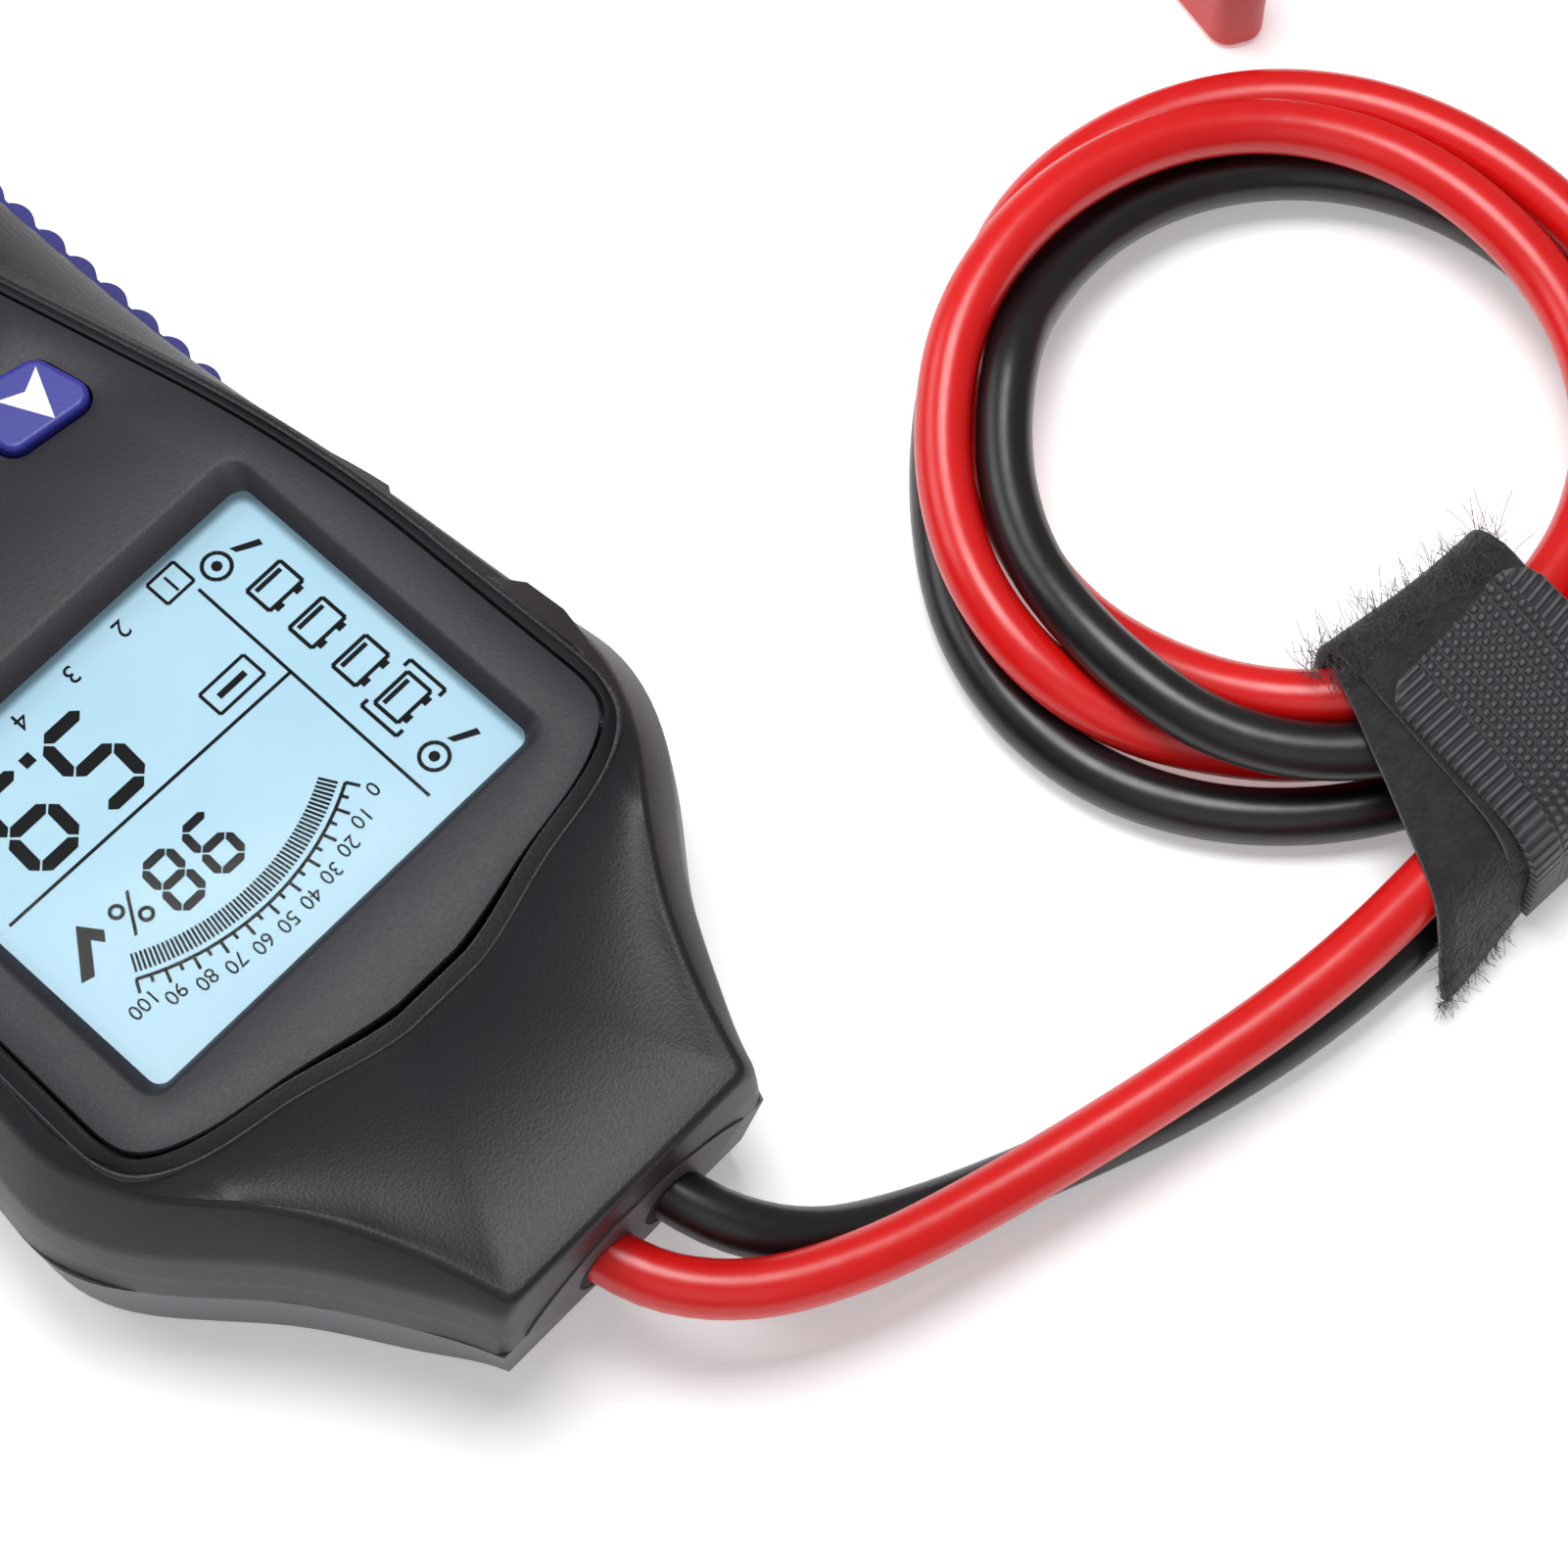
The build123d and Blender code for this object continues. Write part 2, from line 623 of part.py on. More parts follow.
BLACK_TAIL = [
    (-151.8, 102.0, 4.7),
    (-166.6, 99.0, 4.7),
    (-181.0, 93.4, 4.6),
    (-192.6, 83.4, 5.6),
    (-199.6, 71.4, 7.6),
    (-201.67, 59.48, 8.0),
    (-200.60, 47.23, 8.0),
]


def corner_radii(route):
    """Largest tangent arc that each corner's two runs allow."""
    points = [Vector(*point) for point in route]
    radii = []
    for before, here, after in zip(points, points[1:], points[2:]):
        turn = radians((here - before).get_angle(after - here))
        run = min((here - before).length, (after - here).length)
        radii.append(0.45 * run / tan(turn / 2))
    return radii


def cord(name, route):
    """One uncoiled stretch of a lead: straight runs joined by tangent arcs."""
    radii = corner_radii(route)
    with BuildPart() as tube:
        with BuildLine():
            path = FilletPolyline(*route, radius=radii)
        with BuildSketch(Plane(origin=path @ 0, z_dir=path % 0)):
            Circle(CORD_R)
        sweep()
    ratio = tube.part.volume / (pi * CORD_R**2 * path.length)
    print(name, "length", round(path.length, 1), "volume ratio", round(ratio, 4))
    print("    radii", [round(radius, 1) for radius in radii])
    return tube


red_run = cord("red_run", RED_RUN)
black_run = cord("black_run", BLACK_RUN)
red_tail = cord("red_tail", RED_TAIL)
black_tail = cord("black_tail", BLACK_TAIL)

# ---- Plate that closes the end face round both leads ----
with BuildPart() as lead_plate:
    add(plate_shape(NOSE_PLANE, -0.1))
    add(red_run.part, mode=Mode.SUBTRACT)
    add(black_run.part, mode=Mode.SUBTRACT)


# ---- Coils: the outer shape of each lead's two turns, with where the lead joins and leaves ----
def coil(cord_z, arriving, leaving):
    """Flat ring of a lead's turns, with the straight stretches that join it to its two free ones."""
    with BuildPart() as ring:
        with BuildSketch(Plane.XZ.offset(-COIL_Y)):
            with Locations((COIL_X + COIL_MID_R, cord_z)):
                RectangleRounded(COIL_OUT_R - COIL_IN_R, COIL_LAYER, COIL_EDGE_R)
        revolve(axis=Axis((COIL_X, COIL_Y, 0), (0, 0, 1)))
        for end, inner in ((arriving[-1], arriving[-2]), (leaving[0], leaving[1])):
            with BuildSketch(Plane(origin=end, z_dir=Vector(*end) - Vector(*inner))):
                Circle(CORD_R)
            extrude(amount=COIL_LEAD)
    return ring


red_coil = coil(RED_COIL_Z, RED_RUN, RED_TAIL)
black_coil = coil(BLACK_COIL_Z, BLACK_RUN, BLACK_TAIL)

# ---- Hook-and-loop strap round the coil ----
with BuildPart() as coil_strap:
    heading = radians(STRAP_HEADING)
    strap_plane = Plane(
        origin=(*STRAP_MID, 0),
        x_dir=(-sin(heading), cos(heading), 0),
        z_dir=(cos(heading), sin(heading), 0),
    )
    low_v, high_v = STRAP_INNER_V
    with BuildSketch(strap_plane):
        with Locations(((low_v + high_v) / 2, STRAP_HIGH / 2)):
            RectangleRounded(high_v - low_v + 2 * STRAP_THICK, STRAP_HIGH, STRAP_OUTER_CORNER)
            inner_high = STRAP_HIGH - 2 * STRAP_THICK
            RectangleRounded(high_v - low_v, inner_high, STRAP_INNER_CORNER, mode=Mode.SUBTRACT)
    extrude(amount=STRAP_WIDTH / 2, both=True)

# ---- Clamps ----
JAW_GAP = 0.2
LINER_FACE = 1.7
EAR_LEVELS = {"fixed": (1.0, 12.2), "moving": (4.1, 9.3)}
EAR_HIGH = 2.7
SPRING_R = 3.1
SPRING_WIRE_R = 0.35
SPRING_PITCH = 1.8 * SPRING_WIRE_R
SPRING_LEG_START = 0.6
SPRING_LEG_END = -20.0
SPRING_CLEAR = 0.6  # from the turns' middle line to the loose leg's near end
SLEEVE_R = 4.3
SLEEVE_END = -52.0
SLEEVE_LENGTH = 9.0


def clamp_plane(pivot, z=0.0):
    """Plane on a clamp's pivot: local X points to the jaws and local Y to the left of that."""
    way = radians(CLAMP_HEADING)
    return Plane(origin=(*pivot, z), x_dir=(cos(way), sin(way), 0), z_dir=(0, 0, 1))


def clamp_lever(pivot, side, kind):
    """One half of a clamp: handle, jaw and the two ears that the pivot pin passes through."""
    plan = clamp_plane(pivot)
    middle = clamp_plane(pivot, CLAMP_HIGH / 2)
    with BuildPart() as lever:
        with BuildSketch(clamp_plane(pivot)):
            with BuildLine():
                Polyline(
                    (CLAMP_JAW + 0.8, side * JAW_GAP),
                    (CLAMP_JAW + 1.0, side * 3.0),
                    (31.0, side * 6.8),
                    (12.0, side * 8.4),
                    (0.0, side * 9.0),
                    (-12.0, side * 10.8),
                    (-CLAMP_HANDLE - 1.0, side * (CLAMP_SPREAD + 4.1)),
                    (-CLAMP_HANDLE - 4.0, side * CLAMP_SPREAD),
                    (-CLAMP_HANDLE - 1.0, side * (CLAMP_SPREAD - 3.9)),
                    (-EAR_CLEAR_R, side * 2.3),
                    (7.6, side * LINER_FACE),
                    (CLAMP_JAW - 1.6, side * LINER_FACE),
                    (CLAMP_JAW - 1.2, side * JAW_GAP),
                    close=True,
                )
            make_face()
        extrude(amount=CLAMP_HIGH)
        edges = lever.edges().filter_by(Axis.Z)
        far = edges.filter_by(lambda edge: plan.to_local_coords(edge.center()).X < -40)
        fillet(far, 2.6)
        rims = lever.faces().filter_by(Axis.Z).edges()
        outer = rims.filter_by(lambda edge: side * plan.to_local_coords(edge.center()).Y > 3.2)
        fillet(outer, 1.2)
        with BuildSketch(clamp_plane(pivot)):
            Circle(EAR_CLEAR_R)
        extrude(amount=CLAMP_HIGH, mode=Mode.SUBTRACT)
        for level in EAR_LEVELS[kind]:
            with BuildSketch(clamp_plane(pivot, level)):
                Circle(EAR_R)
                with Locations((0, side * 3.6)):
                    Rectangle(2 * EAR_R, 7.2)
            extrude(amount=EAR_HIGH)
        with BuildSketch(clamp_plane(pivot)):
            Circle(PIN_R + (PIN_RUNNING if kind == "moving" else 0))
        extrude(amount=CLAMP_HIGH, mode=Mode.SUBTRACT)
        with BuildSketch(clamp_plane(pivot, CLAMP_HIGH)):
            with Locations((-30.0, side * 15.4)):
                with GridLocations(3.6, 0, 6, 1):
                    SlotOverall(6.0, 1.2, rotation=90)
        extrude(amount=-0.6, mode=Mode.SUBTRACT)
        if kind == "fixed":
            start = middle.from_local_coords((SLEEVE_END, side * CLAMP_SPREAD, 0))
            with BuildSketch(Plane(origin=start, z_dir=middle.x_dir)):
                Circle(SLEEVE_R)
            extrude(amount=SLEEVE_LENGTH)
    return lever


def clamp_liner(pivot, side):
    """Toothed copper plate on the inner face of one jaw."""
    with BuildPart() as liner:
        with BuildSketch(clamp_plane(pivot, 3.0)):
            with Locations((21.0, side * (JAW_GAP + LINER_FACE) / 2)):
                Rectangle(26.0, LINER_FACE - JAW_GAP)
        extrude(amount=CLAMP_HIGH - 6.0)
        with BuildSketch(clamp_plane(pivot, 3.0)):
            with Locations((20.0, side * (JAW_GAP + 0.2))):
                with GridLocations(2.2, 0, 10, 1):
                    Rectangle(1.0, 1.0, rotation=45)
        extrude(amount=CLAMP_HIGH - 6.0, mode=Mode.SUBTRACT)
    return liner


def clamp_pin(pivot):
    """Pivot pin that joins the two halves of a clamp."""
    with BuildPart() as pin:
        with BuildSketch(clamp_plane(pivot, 0.3)):
            Circle(PIN_R)
        extrude(amount=CLAMP_HIGH - 0.6)
    return pin


def spring_leg(pivot, side, start, turn):
    """Straight leg of the clamp spring, level with one of its turns, just inside one handle."""
    level = clamp_plane(pivot, CLAMP_HIGH / 2 + turn * SPRING_PITCH)
    rise = SPRING_LEG_SLOPE * (-SPRING_LEG_END - start)
    begin = level.from_local_coords((-start, side * SPRING_LEG_START, 0))
    finish = level.from_local_coords((SPRING_LEG_END, side * (SPRING_LEG_START + rise), 0))
    with BuildPart() as leg:
        with BuildSketch(Plane(origin=begin, z_dir=finish - begin)):
            Circle(SPRING_WIRE_R)
        extrude(amount=(finish - begin).length)
    return leg


def clamp_spring(pivot, side):
    """Torsion spring round the pin: its turns, and the leg on the fixed handle."""
    with BuildPart() as spring:
        for turn in (-1, 0, 1):
            with BuildSketch(clamp_plane(pivot, CLAMP_HIGH / 2 + turn * SPRING_PITCH)):
                Circle(SPRING_R + SPRING_WIRE_R)
                Circle(SPRING_R - SPRING_WIRE_R, mode=Mode.SUBTRACT)
            extrude(amount=0.9 * SPRING_WIRE_R, both=True)
        add(spring_leg(pivot, side, SPRING_R, -1).part)
    return spring


red_lever_fixed = clamp_lever(RED_PIVOT, -1, "fixed")
red_lever_moving = clamp_lever(RED_PIVOT, 1, "moving")
red_liner_fixed = clamp_liner(RED_PIVOT, -1)
red_liner_moving = clamp_liner(RED_PIVOT, 1)
red_pin = clamp_pin(RED_PIVOT)
red_spring = clamp_spring(RED_PIVOT, -1)
red_spring_leg = spring_leg(RED_PIVOT, 1, SPRING_R + SPRING_CLEAR, 1)
black_lever_fixed = clamp_lever(BLACK_PIVOT, 1, "fixed")
black_lever_moving = clamp_lever(BLACK_PIVOT, -1, "moving")
black_liner_fixed = clamp_liner(BLACK_PIVOT, 1)
black_liner_moving = clamp_liner(BLACK_PIVOT, -1)
black_pin = clamp_pin(BLACK_PIVOT)
black_spring = clamp_spring(BLACK_PIVOT, 1)
black_spring_leg = spring_leg(BLACK_PIVOT, -1, SPRING_R + SPRING_CLEAR, 1)

left_grip = grip(-1)
right_grip = grip(1)

PIECES = {
    "top_shell": top_shell,
    "bottom_shell": bottom_shell,
    "front_panel": front_panel,
    "left_grip": left_grip,
    "right_grip": right_grip,
    "display_lens": display_lens,
    "display_glass": display_glass,
    "display_frame": display_frame,
    "backlight": backlight,
    "display_strip": display_strip,
    "main_board": main_board,
    "controller": controller,
    "measuring_amp": measuring_amp,
    "clock_crystal": clock_crystal,
    "load_resistors": load_resistors,
    "load_switch": load_switch,
    "heat_sink": heat_sink,
    "capacitors": capacitors,
    "buzzer": buzzer,
    "cord_terminals": cord_terminals,
    "key_switches": key_switches,
    "key_up": key_up,
    "key_down": key_down,
    "key_enter": key_enter,
    "key_back": key_back,
    "lead_plate": lead_plate,
    "lead_clamp": lead_clamp,
    "case_screws": case_screws,
    "board_screws": board_screws,
    "clamp_screws": clamp_screws,
    "red_run": red_run,
    "red_coil": red_coil,
    "red_tail": red_tail,
    "black_run": black_run,
    "black_coil": black_coil,
    "black_tail": black_tail,
    "coil_strap": coil_strap,
    "red_lever_fixed": red_lever_fixed,
    "red_lever_moving": red_lever_moving,
    "red_liner_fixed": red_liner_fixed,
    "red_liner_moving": red_liner_moving,
    "red_pin": red_pin,
    "red_spring": red_spring,
    "red_spring_leg": red_spring_leg,
    "black_lever_fixed": black_lever_fixed,
    "black_lever_moving": black_lever_moving,
    "black_liner_fixed": black_liner_fixed,
    "black_liner_moving": black_liner_moving,
    "black_pin": black_pin,
    "black_spring": black_spring,
    "black_spring_leg": black_spring_leg,
}

for name, piece in PIECES.items():
    save(piece, name)
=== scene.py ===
"""Looks of a handheld battery tester with two coiled test leads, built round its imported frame.

Sizes are in millimetres, and mm() turns them into Blender's metres.
"""

import json
import logging
import math
import random
from dataclasses import dataclass
from enum import Enum
from typing import Iterable, Sequence

import bmesh
import bpy
from mathutils import Matrix, Vector


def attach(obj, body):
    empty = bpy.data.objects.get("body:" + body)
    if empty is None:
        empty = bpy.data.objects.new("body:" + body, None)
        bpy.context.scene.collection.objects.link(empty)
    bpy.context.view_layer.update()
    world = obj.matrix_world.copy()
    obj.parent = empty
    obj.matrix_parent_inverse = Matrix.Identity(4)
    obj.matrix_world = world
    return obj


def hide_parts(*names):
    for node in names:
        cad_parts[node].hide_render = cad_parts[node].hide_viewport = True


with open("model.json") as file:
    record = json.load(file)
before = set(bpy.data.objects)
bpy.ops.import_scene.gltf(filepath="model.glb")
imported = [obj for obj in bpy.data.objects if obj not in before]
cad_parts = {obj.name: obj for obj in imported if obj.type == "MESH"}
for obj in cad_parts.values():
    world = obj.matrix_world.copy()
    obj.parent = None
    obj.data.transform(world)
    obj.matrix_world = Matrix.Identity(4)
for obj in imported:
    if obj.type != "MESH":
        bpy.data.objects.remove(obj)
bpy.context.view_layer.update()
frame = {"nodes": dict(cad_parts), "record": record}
LOG = logging.getLogger("battery_tester")

Point = tuple[float, float, float]
Flat = tuple[float, float]
Tree = bpy.types.NodeTree
Socket = bpy.types.NodeSocket
Piece = bpy.types.Object
BMesh = bmesh.types.BMesh
Edge = bmesh.types.BMEdge


def mm(value: float) -> float:
    """Millimetres as metres."""
    return value * 0.001


def metres(point: Sequence[float]) -> Vector:
    """A point in millimetres as a vector in metres."""
    return Vector([mm(value) for value in point])


def linear(hex_colour: str, alpha: float = 1.0) -> tuple[float, float, float, float]:
    """An sRGB hex colour as linear RGBA.

    Args:
        hex_colour: Six hex digits after a hash.
        alpha: Opacity.

    Returns:
        Four linear values.
    """
    parts = [int(hex_colour[i : i + 2], 16) / 255 for i in (1, 3, 5)]
    red, green, blue = (p / 12.92 if p <= 0.04045 else ((p + 0.055) / 1.055) ** 2.4 for p in parts)
    return (red, green, blue, alpha)


# ---- Materials ----
def add_node(tree: Tree, kind: str, links: dict | None = None, **settings) -> bpy.types.Node:
    """Adds one shader node with its settings and inputs.

    Args:
        tree: The material's node tree.
        kind: The node's type name.
        links: Input name or index to a value, or to the output socket that feeds it.
        settings: Properties of the node itself.

    Returns:
        The new node.
    """
    node = tree.nodes.new(kind)
    for name, value in settings.items():
        setattr(node, name, value)
    for name, value in (links or {}).items():
        if isinstance(value, Socket):
            tree.links.new(value, node.inputs[name])
        else:
            node.inputs[name].default_value = value
    return node


def ramp(tree: Tree, factor: Socket, low: str, high: str) -> Socket:
    """Colour that runs from low to high as factor goes from 0.35 to 0.65.

    Args:
        tree: The material's node tree.
        factor: Socket of the driving pattern.
        low: Hex colour at its low end.
        high: Hex colour at its high end.

    Returns:
        The colour socket.
    """
    node = add_node(tree, "ShaderNodeValToRGB", {"Fac": factor})
    node.color_ramp.elements[0].position = 0.35
    node.color_ramp.elements[0].color = linear(low)
    node.color_ramp.elements[1].position = 0.65
    node.color_ramp.elements[1].color = linear(high)
    return node.outputs["Color"]


def span(tree: Tree, factor: Socket, low: float, high: float) -> Socket:
    """Number that runs from low to high with factor.

    Args:
        tree: The material's node tree.
        factor: Socket of the driving pattern, 0 to 1.
        low: Value at 0.
        high: Value at 1.

    Returns:
        The number socket.
    """
    links = {"Value": factor, "To Min": low, "To Max": high}
    return add_node(tree, "ShaderNodeMapRange", links).outputs["Result"]


class Coating:
    """A finish whose material is made once, by its paint method, and then shared."""

    name: str

    def paint(self, tree: Tree, shader: bpy.types.Node) -> None:
        """Wires the finish into its shader."""
        raise NotImplementedError

    def build(self) -> bpy.types.Material:
        """Makes the material once.

        Returns:
            The material.
        """
        material = bpy.data.materials.get(self.name)
        if not material:
            material = bpy.data.materials.new(self.name)
            material.use_nodes = True
            self.paint(material.node_tree, material.node_tree.nodes["Principled BSDF"])
        return material


@dataclass(frozen=True)
class Finish(Coating):
    """One real finish: a base material and the way its surface was made.

    grain is the size in millimetres of the surface's fine relief, and relief its height. patch is the
    size of the slow change of tone that handling and moulding leave.
    """

    name: str
    tone: str
    tone_low: str
    roughness: float
    grain: float = 0.3
    relief: float = 0.02
    patch: float = 25.0
    metallic: float = 0.0
    coat: float = 0.0
    sheen: float = 0.0
    specular: float = 0.5

    def paint(self, tree: Tree, shader: bpy.types.Node) -> None:
        """Wires this finish into its shader.

        Args:
            tree: The material's node tree.
            shader: Its shader.
        """
        place = add_node(tree, "ShaderNodeTexCoord").outputs["Object"]
        links = {"Vector": place, "Scale": 1000 / self.patch, "Detail": 3.0}
        slow = add_node(tree, "ShaderNodeTexNoise", links)
        links = {"Vector": place, "Scale": 1000 / self.grain, "Detail": 2.0}
        fine = add_node(tree, "ShaderNodeTexNoise", links)
        colour = ramp(tree, slow.outputs["Fac"], self.tone_low, self.tone)
        tree.links.new(colour, shader.inputs["Base Color"])
        spread = span(tree, fine.outputs["Fac"], self.roughness - 0.07, self.roughness + 0.07)
        tree.links.new(spread, shader.inputs["Roughness"])
        bump_links = {"Height": fine.outputs["Fac"], "Distance": mm(self.relief), "Strength": 1.0}
        bump = add_node(tree, "ShaderNodeBump", bump_links)
        tree.links.new(bump.outputs["Normal"], shader.inputs["Normal"])
        shader.inputs["Metallic"].default_value = self.metallic
        shader.inputs["Specular IOR Level"].default_value = self.specular
        if self.coat:
            shader.inputs["Coat Weight"].default_value = self.coat
            shader.inputs["Coat Roughness"].default_value = 0.18
        if self.sheen:
            shader.inputs["Sheen Weight"].default_value = self.sheen


# ABS from a spark-eroded mould: a fine even grain that breaks the highlight into a soft glow.
CASE_ABS = Finish("spark_grained_abs", "#242327", "#1f1e22", 0.42, grain=0.34, relief=0.035, specular=0.3)
# The same ABS off a finer mould face, so the panel looks a little smoother and greyer.
PANEL_ABS = Finish("fine_grained_abs", "#29282e", "#242329", 0.46, grain=0.35, relief=0.02, specular=0.3)
LOWER_ABS = Finish("grey_grained_abs", "#58575c", "#504f54", 0.5, grain=0.55, relief=0.04)
PLATE_ABS = Finish("end_plate_abs", "#434147", "#3d3b41", 0.45, grain=0.4, relief=0.02)
# Black foam gasket that shows as a dark line round the end plate.
# Flat black: a dark ring of painted shade in the groove round the end plate. The CAD strap's fabric takes it
# too.
GROOVE_SHADE_AND_STRAP_BLACK = Finish("groove_shade_black", "#161518", "#0f0e10", 0.8, grain=0.4, relief=0.02)
# Thermoplastic rubber overmould: matt, slightly bloomed.
GRIP_RUBBER = Finish("blue_overmould_rubber", "#25267c", "#1f206e", 0.62, grain=0.4, relief=0.03, sheen=0.15)
# Silicone keycap with a satin lacquer.
KEY_SILICONE = Finish("blue_lacquered_silicone", "#2d3090", "#292c88", 0.42, grain=0.6, relief=0.012)
MARK_INK = Finish("white_pad_print_ink", "#eef0fb", "#e2e6f6", 0.5, grain=0.2, relief=0.006)
# Plasticised PVC sheath straight off the extruder: a soft gloss with faint draw ripples.
RED_PVC = Finish("red_extruded_pvc", "#dd1311", "#d30f0e", 0.31, grain=2.5, relief=0.03, coat=0.05)
BLACK_PVC = Finish("black_extruded_pvc", "#151417", "#111012", 0.34, grain=2.5, relief=0.03, coat=0.05)
RED_CLAMP_ABS = Finish("red_moulded_abs", "#cf1c1a", "#c21715", 0.42, grain=0.5, relief=0.025)
BLACK_CLAMP_ABS = Finish("black_moulded_abs", "#1e1d20", "#19181b", 0.45, grain=0.5, relief=0.025)
COPPER = Finish("tumbled_stamped_copper", "#d98a66", "#c67654", 0.34, grain=0.8, relief=0.01, metallic=1.0)
ZINC = Finish("zinc_plated_steel", "#c4c6c9", "#b4b6ba", 0.3, grain=0.5, relief=0.008, metallic=1.0)
SPRING = Finish("drawn_spring_steel", "#b9babd", "#a5a6aa", 0.27, grain=0.3, relief=0.006, metallic=1.0)
FIN = Finish("extruded_aluminium", "#c9cbce", "#b9bbbf", 0.38, grain=0.6, relief=0.01, metallic=1.0)
CAN = Finish("sleeved_capacitor_can", "#26283a", "#1f2132", 0.35, grain=1.0, relief=0.01, coat=0.2)
EPOXY = Finish("moulded_epoxy_package", "#232325", "#1c1c1e", 0.55, grain=0.25, relief=0.015)
CERAMIC = Finish("cement_ceramic_body", "#dcd9cf", "#cfccc1", 0.75, grain=0.3, relief=0.03)
LAMINATE = Finish("solder_masked_laminate", "#1d5a36", "#174d2d", 0.35, grain=1.5, relief=0.01, coat=0.3)
STRIP = Finish("banded_contact_rubber", "#d9a0ac", "#a86474", 0.6, grain=0.2, relief=0.02, patch=1.0)
WHITE_ABS = Finish("white_diffusing_plastic", "#e9e9e4", "#dededa", 0.5, grain=0.5, relief=0.01)
SEGMENT = Finish("darkened_crystal_segment", "#060708", "#030405", 0.7, grain=0.6, relief=0.002, specular=0.2)

# Knitted nylon, brushed up into loops: dull, with a soft pale edge where it turns away.
LOOP_NYLON = Finish(
    "brushed_nylon_loop", "#232226", "#141316", 0.85, grain=0.6, relief=0.35, patch=2.2, sheen=0.3
)
FIBRE_NYLON = Finish("loop_fibre_nylon", "#2f2e32", "#1d1c1f", 0.7, grain=0.5, relief=0.01, sheen=0.3)


@dataclass(frozen=True)
class LitCell(Coating):
    """Liquid-crystal face lit evenly from behind, with the faint mottle of its diffuser."""

    name: str = "backlit_crystal_cell"
    tone: str = "#b2dcee"
    tone_low: str = "#abd7ec"
    strength: float = 0.12

    def paint(self, tree: Tree, shader: bpy.types.Node) -> None:
        """Wires this finish into its shader.

        Args:
            tree: The material's node tree.
            shader: Its shader.
        """
        place = add_node(tree, "ShaderNodeTexCoord").outputs["Object"]
        mottle = add_node(tree, "ShaderNodeTexNoise", {"Vector": place, "Scale": 1000 / 18.0, "Detail": 2.0})
        colour = ramp(tree, mottle.outputs["Fac"], self.tone_low, self.tone)
        tree.links.new(colour, shader.inputs["Base Color"])
        tree.links.new(colour, shader.inputs["Emission Color"])
        shader.inputs["Emission Strength"].default_value = self.strength
        shader.inputs["Roughness"].default_value = 0.4


@dataclass(frozen=True)
class ClearLens(Coating):
    """Polished acrylic window: clear, with a film of fine handling marks in its gloss."""

    name: str = "polished_clear_acrylic"
    index: float = 1.49

    def paint(self, tree: Tree, shader: bpy.types.Node) -> None:
        """Wires this finish into its shader.

        Args:
            tree: The material's node tree.
            shader: Its shader.
        """
        place = add_node(tree, "ShaderNodeTexCoord").outputs["Object"]
        marks = add_node(tree, "ShaderNodeTexNoise", {"Vector": place, "Scale": 1000 / 6.0, "Detail": 4.0})
        film = span(tree, marks.outputs["Fac"], 0.03, 0.09)
        tree.links.new(film, shader.inputs["Roughness"])
        shader.inputs["Base Color"].default_value = linear("#1c2226")
        shader.inputs["IOR"].default_value = self.index
        shader.inputs["Alpha"].default_value = 0.07


